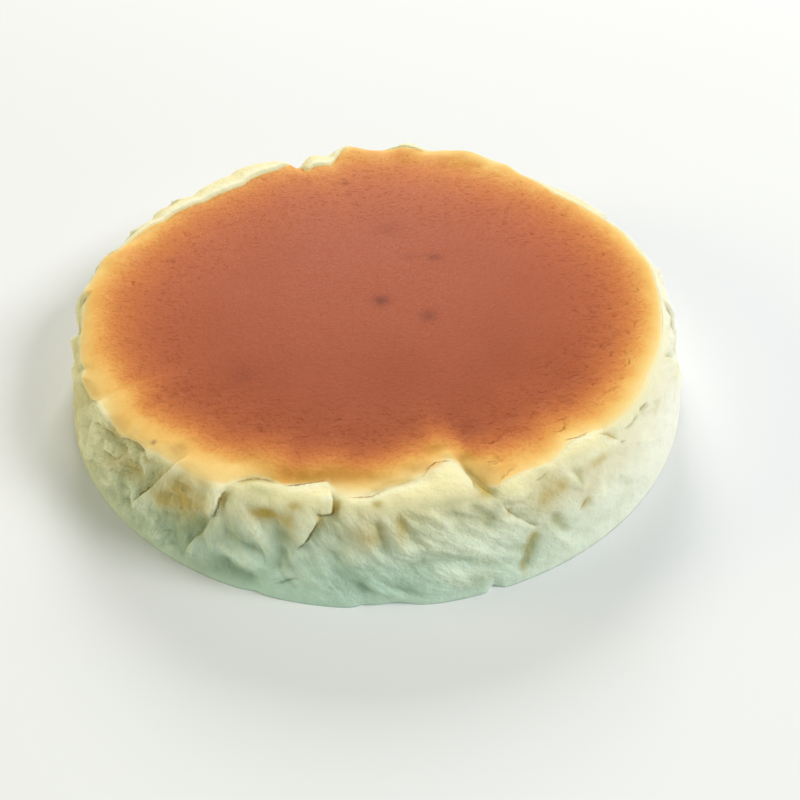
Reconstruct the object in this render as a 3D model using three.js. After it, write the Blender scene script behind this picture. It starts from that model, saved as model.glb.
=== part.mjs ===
// A whole baked cheesecake in one solid piece: a low round cake with a flat foot, a pale wall that leans
// in towards the rim, a soft shoulder and a browned, gently crowned top. It was baked in a tin lined
// with crumpled paper, and the wall keeps the print of that paper: pleats where the sheet lapped over
// itself, soft ridges and valleys between them, and lobes with a lip where a pleat meets the top.
//
// Millimetres, +Z up, origin in the middle of the flat foot. Angles are degrees counterclockwise seen
// from above, with 0 at the right (+X) and 270 at the front (-Y).

import * as THREE from "three";

// Driving sizes of the cake
const FOOT_RADIUS = 127.8; // where the straight wall would meet the surface that the cake stands on
const RIM_RADIUS = 118.6; // where wall and top would meet in a sharp corner
const RIM_HEIGHT = 38.5;
const SHOULDER = 9; // the corner is rounded over this length on either side of it
const CROWN = 1.6; // how much higher the middle is than the rim
const FOOT_TUCK = 0.7; // how far the lowest edge draws in
const FOOT_ROUND = 2.6; // height over which it does
const FLAT_FOOT = 5; // relief moves nothing up or down at the foot, and all it can above this height
const NICK_HEIGHT = 4.5; // height over which a nick in the foot's edge closes
const STEP_WIDTH = 3.4; // width over which a pleat's step rises
const FOLD_END = 8; // a fold fades out over this length at its two ends

// Fineness of the mesh
const SEGMENTS = 240; // points round the wall's rings, halved again and again towards the middle
const WALL_RINGS = 11;
const SHOULDER_RINGS = 9;
const TOP_RINGS = [
  { share: 0.28, halvings: 1 },
  { share: 0.48, halvings: 1 },
  { share: 0.7, halvings: 2 },
  { share: 0.9, halvings: 3 },
];

const DEGREE = Math.PI / 180;
const WALL_SPAN = new THREE.Vector2(RIM_RADIUS - FOOT_RADIUS, RIM_HEIGHT);
const WALL_LENGTH = WALL_SPAN.length();
const WALL_DIRECTION = WALL_SPAN.clone().normalize();
const MM_PER_DEGREE = ((FOOT_RADIUS + RIM_RADIUS) / 2) * DEGREE;
const LIP_REACH = 0.55 * WALL_LENGTH; // how far in over the top the lobes' lips go

// Folds are laid out on a chart of the wall. A point of the chart is [angle, level]: level 0 is the foot,
// 1 is the rim, and above 1 it goes on inwards over the top, still in units of the wall's length.
// Heights are millimetres along the surface's normal.

// A pleat is a step: the sheet on one side of its path stands proud of the sheet on the other side.
// left and right are the heights beside the path, as seen when going along it with the foot below, the
// angles growing to the right. Each fades out over reach.
const PLEATS = [
  {
    path: [[205, 0.05], [206.6, 0.22], [207.6, 0.36], [209.4, 0.62], [210.6, 0.8], [209.8, 1.1]],
    left: -0.6, right: 0.5, reach: 4,
  },
  {
    path: [
      [224.4, 0.3], [225.5, 0.41], [227.1, 0.53], [228.8, 0.64], [230.1, 0.75],
      [231.4, 0.85], [232.5, 0.94], [233.1, 1.04], [233.7, 1.14], [233.8, 1.24],
    ],
    left: -1.6, right: 1.4, reach: 6,
  },
  {
    path: [
      [236.3, 0.06], [236.6, 0.17], [237.3, 0.28], [238.2, 0.36],
      [239.4, 0.43], [240.2, 0.51], [240.8, 0.59], [241.6, 0.69],
    ],
    left: -2.2, right: 1.2, reach: 6,
  },
  {
    path: [[240.6, 0.62], [241.6, 0.72], [242.2, 0.8], [242.8, 0.96], [243.4, 1.02], [243.9, 1.08]],
    left: 1.8, right: -1.8, reach: 3.4,
  },
  { path: [[251.8, 1.2], [254, 1.235], [257.6, 1.305], [259.8, 1.39]], left: -0.7, right: 0.5, reach: 3.5 },
  {
    path: [[255, 0.56], [256.2, 0.61], [257.1, 0.67], [257.9, 0.76], [258.7, 0.84], [259.8, 0.98]],
    left: 1.5, right: -1.8, reach: 4.5,
  },
  {
    path: [[258.4, 0.99], [260, 0.975], [261.2, 1], [261.3, 1.08], [261.2, 1.16], [260.4, 1.25]],
    left: 1.3, right: -2.4, reach: 3.4,
  },
  {
    path: [
      [262.6, 1.17], [267.4, 1.19], [268.6, 1.22], [270.4, 1.265], [275.5, 1.33],
      [277, 1.37], [278.4, 1.46], [280, 1.5], [282, 1.5], [284.2, 1.475],
    ],
    left: -0.7, right: 0.5, reach: 3.5,
  },
  { path: [[284.2, 1.5], [284.9, 1.36], [285.2, 1.22], [284.7, 1.1]], left: -0.8, right: 0.8, reach: 3 },
  {
    path: [
      [288.6, 0.94], [289.2, 0.83], [290, 0.76], [291, 0.7],
      [292.2, 0.65], [293.3, 0.58], [294.5, 0.54], [296.2, 0.54],
    ],
    left: -0.8, right: 0.8, reach: 4,
  },
  { path: [[304.6, 1.275], [306.4, 1.24], [309.4, 1.205], [310.6, 1.18]], left: -0.5, right: 0.5, reach: 3 },
  { path: [[310.4, 1.13], [311.6, 1.07], [313.3, 0.95], [314.2, 0.9]], left: -1, right: 1, reach: 3.5 },
  { path: [[200, 0.96], [202.4, 0.91], [205.6, 0.89], [209, 0.92]], left: 0.4, right: -0.6, reach: 3 },
  {
    path: [
      [214.6, 0.92], [217, 0.88], [219.4, 0.91], [221, 0.98],
      [223.4, 1.02], [226, 1], [226.8, 0.92], [228.4, 0.9],
    ],
    left: 0.5, right: -0.9, reach: 3.5,
  },
  {
    path: [[75, 1.06], [77.5, 1.15], [80.5, 1.16], [84, 1.13], [88, 1.04]],
    left: -0.6, right: 1, reach: 5,
  },
  {
    path: [[94, 1.08], [97, 1.17], [100.5, 1.33], [103.5, 1.37], [106.8, 1.34], [107.6, 1.1]],
    left: -0.4, right: 1.2, reach: 6,
  },
  {
    path: [
      [110, 1.1], [111.2, 1.22], [114.2, 1.28], [119, 1.31], [124.5, 1.37], [129, 1.37],
      [135.5, 1.32], [141, 1.28], [147, 1.23], [154.5, 1.19], [163, 1.05],
    ],
    left: -0.5, right: 1.3, reach: 9,
  },
];

// A crease is soft and even on both sides: a ridge where its height is positive, else a valley
const CREASES = [
  {
    path: [[246.2, 1], [247, 0.88], [248.4, 0.77], [250, 0.66], [251.4, 0.56], [252.8, 0.46]],
    height: 1.7, width: 2.8,
  },
  { path: [[243.4, 0.65], [246, 0.55], [248.4, 0.5], [251.8, 0.45]], height: -1.4, width: 2.6 },
  { path: [[242.4, 0.44], [244.6, 0.4], [247.4, 0.36], [250.6, 0.29]], height: 1.3, width: 3 },
  { path: [[241.4, 0.36], [244, 0.26], [246.4, 0.2], [252.2, 0.17]], height: -1.1, width: 2.8 },
  { path: [[255.2, 0.58], [253.9, 0.49], [253.3, 0.4], [253.3, 0.29]], height: -1.4, width: 2.4 },
  { path: [[262.8, 0.84], [262.9, 0.64], [262.4, 0.46]], height: -0.8, width: 3.2 },
  { path: [[266.2, 1], [266.5, 0.85], [267.4, 0.7], [268.6, 0.56]], height: 0.8, width: 2.8 },
  { path: [[268.2, 0.96], [268.8, 0.8], [269.6, 0.66], [270.8, 0.54]], height: -1.2, width: 2.6 },
  {
    path: [[269.4, 1.02], [270.6, 0.88], [271.6, 0.74], [273, 0.62], [275.4, 0.53]],
    height: 1.1, width: 2.6,
  },
  { path: [[270.8, 1.04], [272.2, 0.9], [274.4, 0.68], [276.8, 0.59]], height: -1.6, width: 2.4 },
  { path: [[276.2, 1.12], [277.4, 0.98], [278.8, 0.86], [280.6, 0.7]], height: 1.3, width: 2.6 },
  {
    path: [[284.4, 1.54], [285.4, 1.38], [286.1, 1.26], [287, 1.13], [287.9, 1.02], [288.8, 0.92]],
    height: -3.3, width: 2.8,
  },
  { path: [[283, 1.04], [285, 0.9], [286.4, 0.79], [288.6, 0.68]], height: -1.4, width: 2.8 },
  { path: [[295, 0.52], [293.9, 0.4], [293, 0.3], [292.1, 0.19], [291.2, 0.06]], height: -1.8, width: 2.4 },
  { path: [[297, 0.64], [298.2, 0.52], [299.4, 0.42], [301.2, 0.28]], height: -1, width: 2.6 },
  { path: [[295.8, 0.52], [298, 0.36], [300.4, 0.2], [303, 0.02]], height: 1, width: 2.8 },
  { path: [[299.4, 1.04], [301.4, 0.93], [303.8, 0.7], [304.8, 0.56]], height: 1, width: 2.6 },
  { path: [[301.8, 1.02], [303.4, 0.88], [304.1, 0.7]], height: -0.9, width: 2.4 },
  { path: [[212.4, 0.5], [218, 0.6], [219.6, 0.67], [221.6, 0.82]], height: -1, width: 2.4 },
  { path: [[226.6, 0.34], [230, 0.43], [234.6, 0.5], [237.4, 0.56]], height: -0.9, width: 2.6 },
];

// A mound is a soft swelling, or a dimple where its height is negative. wide is in degrees and tall in
// levels.
const MOUNDS = [
  { at: [212.6, 0.98], wide: 2, tall: 0.07, height: 0.8 },
  { at: [219.6, 0.83], wide: 2.4, tall: 0.06, height: -0.6 },
  { at: [223.6, 0.9], wide: 1.8, tall: 0.07, height: 0.8 },
  { at: [229.6, 0.82], wide: 2.4, tall: 0.16, height: -1.2 },
  { at: [235, 0.72], wide: 4.6, tall: 0.2, height: -0.8 },
  { at: [241.8, 0.98], wide: 1.8, tall: 0.14, height: 0.8 },
  { at: [239.6, 0.53], wide: 1.8, tall: 0.12, height: -0.8 },
  { at: [245.6, 0.94], wide: 1.8, tall: 0.12, height: 1.1 },
  { at: [249.6, 1.13], wide: 3.2, tall: 0.07, height: 0.7 },
  { at: [251.4, 0.82], wide: 3, tall: 0.12, height: -2.2 },
  { at: [253.6, 0.68], wide: 2, tall: 0.12, height: -1.6 },
  { at: [255, 0.42], wide: 1.8, tall: 0.1, height: 0.9 },
  { at: [257, 1.12], wide: 4, tall: 0.1, height: 0.9 },
  { at: [266, 1.08], wide: 3.6, tall: 0.08, height: 0.7 },
  { at: [274, 1.18], wide: 3.6, tall: 0.1, height: 0.8 },
  { at: [280.6, 1.3], wide: 3.4, tall: 0.14, height: 1.2 },
  { at: [281.4, 0.6], wide: 4, tall: 0.14, height: 1.2 },
  { at: [277.6, 0.2], wide: 3.6, tall: 0.12, height: 1 },
  { at: [291.8, 1], wide: 2.6, tall: 0.09, height: 1 },
  { at: [307.5, 1.08], wide: 4, tall: 0.11, height: 1.2 },
];

// Where the rim stands further out and higher by size, or is broken away where size is negative, over
// an angle of spread to either side
const RIM_BULGES = [
  { at: 6, spread: 5, size: 0.8 },
  { at: 56, spread: 3, size: 1.2 },
  { at: 66, spread: 7, size: 3 },
  { at: 81, spread: 3.5, size: 2.3 },
  { at: 95, spread: 3.5, size: 1.4 },
  { at: 100, spread: 40, size: 1 },
  { at: 100.5, spread: 2, size: -1.4 },
  { at: 108, spread: 2.3, size: -3.6 },
  { at: 122, spread: 6, size: 1 },
  { at: 125, spread: 1.8, size: -0.7 },
  { at: 136, spread: 1.8, size: -0.8 },
  { at: 148, spread: 1.8, size: -0.8 },
  { at: 166, spread: 4, size: 1.9 },
  { at: 178, spread: 6, size: 1 },
];

// The same for the foot's edge, which is ragged where the paper was pulled away
const FOOT_NICKS = [
  { at: 249, spread: 1.4, size: -0.8 },
  { at: 266.4, spread: 1.6, size: -1.2 },
  { at: 271, spread: 3.4, size: -2.2 },
  { at: 286.9, spread: 1.2, size: -2.4 },
];

// The folds that the tables leave out, from the right side round the back, are drawn from a seed
const DRAWN_FROM = 342;
const DRAWN_TO = 558;
const DRAWN_SPACING = 11.5;
const SEED = 20;

// Evenly spread numbers from 0 to 1, always the same ones: each state is a linear step from the last
function drawsFrom(seed) {
  let state = seed;
  return () => {
    state = (Math.imul(state, 1664525) + 1013904223) >>> 0;
    return state / 2 ** 32;
  };
}

// A leaning pleat at each step round the cake, and beside it a ridge, a valley and a mound
function drawnFolds() {
  const draw = drawsFrom(SEED);
  const between = (low, high) => low + (high - low) * draw();
  const folds = { pleats: [], creases: [], mounds: [] };
  for (let angle = DRAWN_FROM; angle < DRAWN_TO; angle += DRAWN_SPACING) {
    const at = angle + between(-2.5, 2.5);
    const lean = between(-4, 4);
    const foot = between(0.05, 0.4);
    const top = between(0.98, 1.16);
    const bow = between(-1.6, 1.6);
    const step = between(1.2, 2.2) * (draw() < 0.5 ? 1 : -1);
    folds.pleats.push({
      path: [[at - lean, foot], [at + bow, (foot + top) / 2], [at + lean, top]],
      left: -step,
      right: 0.8 * step,
      reach: between(5, 8),
    });
    for (const height of [between(0.9, 1.7), -between(0.9, 1.7)]) {
      const start = at + between(2.5, 8);
      const slant = between(-7, 7);
      const low = between(0.08, 0.45);
      const high = low + between(0.3, 0.55);
      folds.creases.push({ path: [[start, low], [start + slant, high]], height, width: between(2.4, 3.6) });
    }
    folds.mounds.push({
      at: [at + between(3, 8), between(0.92, 1.08)],
      wide: between(2.6, 4.6),
      tall: between(0.09, 0.15),
      height: between(-0.6, 1.4),
    });
  }
  return folds;
}

const drawn = drawnFolds();
const pleats = [...PLEATS, ...drawn.pleats];
const creases = [...CREASES, ...drawn.creases];
const mounds = [...MOUNDS, ...drawn.mounds];

// 0 below low, 1 above high, and an S-shaped rise between them
const smooth = THREE.MathUtils.smoothstep;

// The turn from one angle to another by the short way round
function turn(from, to) {
  return ((((to - from) % 360) + 540) % 360) - 180;
}

// A point of the chart in millimetres, with x counted from the angle origin
function chartPoint([angle, level], origin) {
  return new THREE.Vector2(turn(origin, angle) * MM_PER_DEGREE, level * WALL_LENGTH);
}

// Where a point of the chart lies beside a path: across is its distance, positive to the path's right,
// and strength is 0 at the path's two ends and 1 from FOLD_END inwards, or from a third of a short path.
function beside(path, point) {
  const origin = path[0][0];
  const corners = path.map((corner) => chartPoint(corner, origin));
  const spot = chartPoint(point, origin);
  let across = Infinity;
  let along = 0;
  let length = 0;
  for (let i = 1; i < corners.length; i++) {
    const leg = corners[i].clone().sub(corners[i - 1]);
    const offset = spot.clone().sub(corners[i - 1]);
    const share = THREE.MathUtils.clamp(offset.dot(leg) / leg.lengthSq(), 0, 1);
    const side = leg.cross(offset) > 0 ? -1 : 1;
    const distance = offset.distanceTo(leg.clone().multiplyScalar(share));
    if (distance < Math.abs(across)) {
      across = side * distance;
      along = length + share * leg.length();
    }
    length += leg.length();
  }
  const ramp = Math.min(length / 3, FOLD_END);
  return { across, strength: smooth(along, 0, ramp) * smooth(length - along, 0, ramp) };
}

function pleatHeight({ path, left, right, reach }, point) {
  const { across, strength } = beside(path, point);
  const step = left + (right - left) * smooth(across, -STEP_WIDTH / 2, STEP_WIDTH / 2);
  return step * Math.exp(-Math.abs(across) / reach) * strength;
}

function creaseHeight({ path, height, width }, point) {
  const { across, strength } = beside(path, point);
  return height * Math.exp(-((across / width) ** 2)) * strength;
}

function moundHeight({ at, wide, tall, height }, [angle, level]) {
  return height * Math.exp(-((turn(at[0], angle) / wide) ** 2) - ((level - at[1]) / tall) ** 2);
}

function total(list, height) {
  return list.reduce((sum, item) => sum + height(item), 0);
}

// How far all folds together move a point of the chart along the surface's normal
function relief(point) {
  return (
    total(pleats, (pleat) => pleatHeight(pleat, point)) +
    total(creases, (crease) => creaseHeight(crease, point)) +
    total(mounds, (mound) => moundHeight(mound, point))
  );
}

// How far the edges of a list stand out at an angle
function edgeOffset(edges, angle) {
  return total(edges, ({ at, spread, size }) => size * Math.exp(-((turn(at, angle) / spread) ** 2)));
}

// The smooth cake's profile at a distance from the foot, up the wall and on over the top. Wall and top
// are straight, and the direction turns evenly from one to the other, so that the corner is a parabola.
function profile(distance) {
  const past = distance - WALL_LENGTH;
  const turned = THREE.MathUtils.clamp((past + SHOULDER) / (2 * SHOULDER), 0, 1);
  const overTop = past > SHOULDER ? past : SHOULDER * turned ** 2;
  const upWall = distance - overTop;
  const tuck = FOOT_TUCK * Math.exp(-distance / FOOT_ROUND);
  const radius = FOOT_RADIUS + WALL_DIRECTION.x * upWall - overTop - tuck;
  const height = WALL_DIRECTION.y * upWall + CROWN * turned * (1 - (radius / RIM_RADIUS) ** 2);
  const wallNormal = new THREE.Vector2(WALL_DIRECTION.y, -WALL_DIRECTION.x);
  const normal = wallNormal.lerp(new THREE.Vector2(0, 1), turned).normalize();
  return { radius, height, normal };
}

// The cake's surface at an angle and a distance from the foot
function surfacePoint(angle, distance) {
  const { radius, height, normal } = profile(distance);
  const level = distance / WALL_LENGTH;
  const nearEdge = smooth(radius, 0.45 * RIM_RADIUS, 0.8 * RIM_RADIUS);
  const nearRim = smooth(level, 0.5, 0.95) * (1 - smooth(level, 1.12, 1.55));
  const lift = relief([angle, level]) * nearEdge;
  const bulge = edgeOffset(RIM_BULGES, angle);
  const nick = edgeOffset(FOOT_NICKS, angle) * Math.exp(-distance / NICK_HEIGHT);
  const r = radius + normal.x * lift + bulge * nearEdge + nick;
  const z = height + (normal.y * lift + bulge * nearRim) * smooth(distance, 0, FLAT_FOOT);
  return new THREE.Vector3(r * Math.cos(angle * DEGREE), r * Math.sin(angle * DEGREE), z);
}

// Even steps from start towards end, which is left out
function evenSteps(start, end, count) {
  return Array.from({ length: count }, (_, i) => start + ((end - start) * i) / count);
}

// The rings of points, from the foot inwards: how far along the profile each lies, and its points
function ringPlan() {
  const shoulderFoot = WALL_LENGTH - SHOULDER;
  const lipTop = WALL_LENGTH + LIP_REACH;
  const middle = WALL_LENGTH + RIM_RADIUS;
  const edgeRings = [
    ...evenSteps(0, shoulderFoot, WALL_RINGS),
    ...evenSteps(shoulderFoot, lipTop, SHOULDER_RINGS - 1),
    lipTop,
  ];
  return [
    ...edgeRings.map((distance) => ({ distance, count: SEGMENTS })),
    ...TOP_RINGS.map(({ share, halvings }) => ({
      distance: lipTop + share * (middle - lipTop),
      count: SEGMENTS / 2 ** halvings,
    })),
  ];
}

// Triangles between a ring of points and the next one inwards, which has as many points or half: each
// inner point is joined to the outer ones round it, and each pair of inner points to the one between.
function bandFaces(outer, inner) {
  const faces = [];
  const ratio = outer.count / inner.count;
  for (let i = 0; i < inner.count; i++) {
    const near = inner.first + i;
    const nearNext = inner.first + ((i + 1) % inner.count);
    const far = evenSteps(0, ratio + 1, ratio + 1).map((k) => outer.first + ((i * ratio + k) % outer.count));
    faces.push(far[0], far[1], near);
    faces.push(far[1], nearNext, near);
    if (ratio === 2) faces.push(far[1], far[2], nearNext);
  }
  return faces;
}

// Triangles between a ring of points and one point in its middle
function fanFaces(ring, middle) {
  return evenSteps(0, ring.count, ring.count).flatMap((i) => [
    ring.first + i,
    ring.first + ((i + 1) % ring.count),
    middle,
  ]);
}

function cheesecakeGeometry() {
  const points = [];
  const rings = ringPlan().map(({ distance, count }) => {
    const first = points.length;
    points.push(...evenSteps(0, 360, count).map((angle) => surfacePoint(angle, distance)));
    return { first, count };
  });
  const topMiddle = points.push(surfacePoint(0, WALL_LENGTH + RIM_RADIUS)) - 1;
  const footMiddle = points.push(new THREE.Vector3(0, 0, 0)) - 1;
  const faces = rings.slice(1).flatMap((inner, i) => bandFaces(rings[i], inner));
  faces.push(...fanFaces(rings.at(-1), topMiddle));
  faces.push(...fanFaces(rings[0], footMiddle).reverse());
  const geometry = new THREE.BufferGeometry().setFromPoints(points);
  geometry.setIndex(faces);
  geometry.computeVertexNormals();
  return geometry;
}

const cake = new THREE.Mesh(
  cheesecakeGeometry(),
  new THREE.MeshStandardMaterial({ color: 0xe3c896, roughness: 0.6, metalness: 0 }),
);
cake.name = "cheesecake";

const part = new THREE.Group();
part.add(cake);

export default part;
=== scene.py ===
"""The looks of a whole baked cheesecake.

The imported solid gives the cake's form. Here the same profile and the same folds are worked out on a much
finer net of points, with the small creases, cracks and wrinkles that the solid leaves out, and the baked
skin gets its colours from how far each point lies up the wall or in over the top.

Folds are laid out on a chart of the wall. A point of the chart is (angle, level): the angle is in degrees
counterclockwise seen from above, with 0 at the right and 270 at the front; level 0 is the foot, 1 is the
rim, and above 1 it goes on inwards over the top, still in units of the wall's length. Sizes on the chart
are millimetres, and the mesh is made in metres.
"""

from collections import namedtuple

import bpy
import numpy as np
from mathutils import Matrix, Vector


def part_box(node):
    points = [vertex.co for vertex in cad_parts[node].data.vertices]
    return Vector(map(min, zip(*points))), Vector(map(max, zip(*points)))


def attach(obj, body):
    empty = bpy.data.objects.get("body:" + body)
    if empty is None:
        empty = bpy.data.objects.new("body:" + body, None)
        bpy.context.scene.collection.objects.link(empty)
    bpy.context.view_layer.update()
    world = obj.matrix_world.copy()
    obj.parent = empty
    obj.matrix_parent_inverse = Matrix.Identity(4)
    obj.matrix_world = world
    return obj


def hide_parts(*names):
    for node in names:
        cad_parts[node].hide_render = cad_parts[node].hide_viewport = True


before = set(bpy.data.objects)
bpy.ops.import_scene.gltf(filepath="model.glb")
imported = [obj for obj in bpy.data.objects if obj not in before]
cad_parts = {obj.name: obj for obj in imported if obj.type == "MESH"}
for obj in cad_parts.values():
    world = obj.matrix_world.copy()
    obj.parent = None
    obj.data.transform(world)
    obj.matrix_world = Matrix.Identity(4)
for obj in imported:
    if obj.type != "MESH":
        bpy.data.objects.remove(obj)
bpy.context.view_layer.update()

NODE = "cheesecake"

# The millimetre of the sizes below, in metres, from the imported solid's width
SOLID_WIDTH = 255.56
solid_low, solid_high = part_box(NODE)
MM = (solid_high.x - solid_low.x) / SOLID_WIDTH

# Driving sizes, as the solid has them
FOOT_RADIUS = 127.8
RIM_RADIUS = 118.6
RIM_HEIGHT = 38.5
SHOULDER = 9.0
CROWN = 1.6
FOOT_TUCK = 0.7
FOOT_ROUND = 2.6
FLAT_FOOT = 5.0
NICK_HEIGHT = 4.5
STEP_WIDTH = 1.2
FOLD_END = 8.0
FOLD_TIP = 0.6

WALL_SPAN = np.array([RIM_RADIUS - FOOT_RADIUS, RIM_HEIGHT])
WALL_LENGTH = float(np.hypot(*WALL_SPAN))
WALL_DIRECTION = WALL_SPAN / WALL_LENGTH
MM_PER_DEGREE = np.radians((FOOT_RADIUS + RIM_RADIUS) / 2)

# Fineness of the mesh: points round the wall's rings, where they crowd, and the distance between rings
SEGMENTS = 864
CROWDED_AT = 262.0
CROWDING = 0.3
EDGE_SPACING = 0.7
EDGE_REACH = 29.0
TOP_SPACING = 2.0
TOP_HALVINGS = ((120.0, 1), (66.0, 2), (34.0, 3))

Pleat = namedtuple("Pleat", "path left right reach lap dark")
Crease = namedtuple("Crease", "path height width dark", defaults=[(0,)])
Mound = namedtuple("Mound", "angle level wide tall height")
Edge = namedtuple("Edge", "at spread size")
Band = namedtuple("Band", "path width strength")
Bake = namedtuple("Bake", "angle level jump lag", defaults=[0])
Smudge = namedtuple("Smudge", "x y size strength")
Field = namedtuple("Field", "count start end inner outer shortest longest slant")
Lamp = namedtuple("Lamp", "name azimuth elevation distance size power colour")


def listed(kind, rows):
    """The rows of a table as records of one kind."""
    return [kind(*row) for row in rows]


# A pleat is a step: the sheet on one side of its path stands proud of the sheet on the other side. It
# laps over it by lap or, where lap is negative, is worn back, so that the gap's painted dark line shows on
# the step's crest. left and right are the heights beside the path, seen with the foot below. dark is how
# shut and dark the gap between the sheets is, told at even steps along the path: the gap's brown, with
# painted shadow in it.
PLEATS = listed(Pleat, [
    ([(205, 0.05), (206.6, 0.22), (207.6, 0.36), (209.4, 0.62), (210.6, 0.8), (210.7, 0.95),
     (209.8, 1.1)], -0.6, 0.5, 4, 0.3, (0.2, 0.3, 0.1, 0, 0.2, 0.9, 0.5)),
    ([(224.4, 0.3), (225.5, 0.41), (227.1, 0.53), (228.8, 0.64), (230.1, 0.75), (231.4, 0.85),
     (232.5, 0.94), (233.1, 1.04), (233.7, 1.14), (233.8, 1.24)], -1.5, 1.3, 6, 0.8,
     (0.4, 0.9, 0.9, 0.4, 0.15, 0.05, 0, 0)),
    ([(236.3, 0.06), (236.6, 0.17), (237.3, 0.28), (238.2, 0.36), (239.4, 0.43), (240.2, 0.51),
     (240.8, 0.59), (241.6, 0.69)], -2.2, 1.2, 6, 0.5, (0.2, 0.4, 0.5, 0.4, 0.3, 0.2)),
    ([(240.6, 0.62), (241.6, 0.72), (242.2, 0.8), (242.5, 0.88), (242.8, 0.96), (243.4, 1.02),
     (243.9, 1.08)], 1.6, -1.4, 3, 0.8, (0.3, 0.9, 1, 0.9, 0.9, 0.6, 0.2)),
    ([(251.8, 1.2), (254, 1.235), (256, 1.275), (257.6, 1.305), (259, 1.33), (259.8, 1.39)], -0.6, 0.4,
     3.5, -0.4, (0.7, 1, 1, 1, 0.8, 0.4)),
    ([(255, 0.56), (256.2, 0.61), (257.1, 0.67), (257.9, 0.76), (258.7, 0.84), (259.3, 0.91),
     (259.8, 0.98)], 1.5, -1.7, 4.5, 1, (0.7, 1, 1, 0.8, 0.5, 0.3)),
    ([(258.4, 0.99), (260, 0.975), (261.2, 1), (261.3, 1.08), (261.2, 1.16), (260.4, 1.25)], 1.2, -2.2,
     3, 0.8, (0.3, 0.7, 1, 0.8, 0.4, 0)),
    ([(262.6, 1.17), (265, 1.18), (267.4, 1.19), (268.6, 1.22), (270.4, 1.265), (273, 1.3),
     (275.5, 1.33), (277, 1.37), (278.4, 1.46), (280, 1.5), (282, 1.5), (284.2, 1.475)], -0.5, 0.4, 3.5,
     -0.4, (0.5, 0.7, 0.7, 0.4, 0.1, 0, 0, 0.2, 0.6, 1, 1, 0.8)),
    ([(284.2, 1.5), (284.9, 1.36), (285.2, 1.22), (284.7, 1.1)], -0.5, 0.5, 3, 0.4, (0, 0.2, 0.5, 0.2)),
    ([(288.6, 0.94), (289.2, 0.83), (290, 0.76), (291, 0.7), (292.2, 0.65), (293.3, 0.58),
     (294.5, 0.54), (296.2, 0.54)], -0.8, 0.8, 4, 0.5, (0.6, 1, 0.5, 0.3, 0.3, 0.5, 0.8, 0.4)),
    ([(304.6, 1.275), (306.4, 1.24), (307.6, 1.215), (309.4, 1.205), (310.6, 1.18)], -0.4, 0.4, 3, -0.3,
     (0.9, 1, 0.6, 0.5, 0.3)),
    ([(310.4, 1.13), (311.6, 1.07), (312.5, 1), (313.3, 0.95), (314.2, 0.9)], -1, 1, 3.5, 0.5,
     (0.6, 1, 1, 0.6, 0.2)),
    ([(200, 0.96), (202.4, 0.91), (205.6, 0.89), (209, 0.92)], 0.4, -0.6, 3, 0.4, (0.1, 0.2, 0.2, 0.1)),
    ([(214.6, 0.92), (217, 0.88), (219.4, 0.91), (221, 0.98), (223.4, 1.02), (226, 1), (226.8, 0.92),
     (228.4, 0.9)], 0.5, -0.9, 3.5, 0.5, (0.1, 0.3, 0.4, 0.3, 0.3, 0.4, 0.4, 0.2)),
    ([(75, 1.06), (77.5, 1.15), (80.5, 1.16), (84, 1.13), (88, 1.04)], -0.5, 0.5, 5, 0.4, (0,)),
    ([(94, 1.08), (97, 1.17), (100.5, 1.33), (103.5, 1.37), (106.8, 1.34), (107.6, 1.1)], -0.4, 1, 6,
     0.4, (0,)),
    ([(110, 1.1), (111.2, 1.22), (114.2, 1.28), (119, 1.31), (124.5, 1.37), (129, 1.37), (135.5, 1.32),
     (141, 1.28), (147, 1.23), (154.5, 1.19), (163, 1.05)], -0.4, 1, 9, 0.3, (0,)),
])
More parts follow.
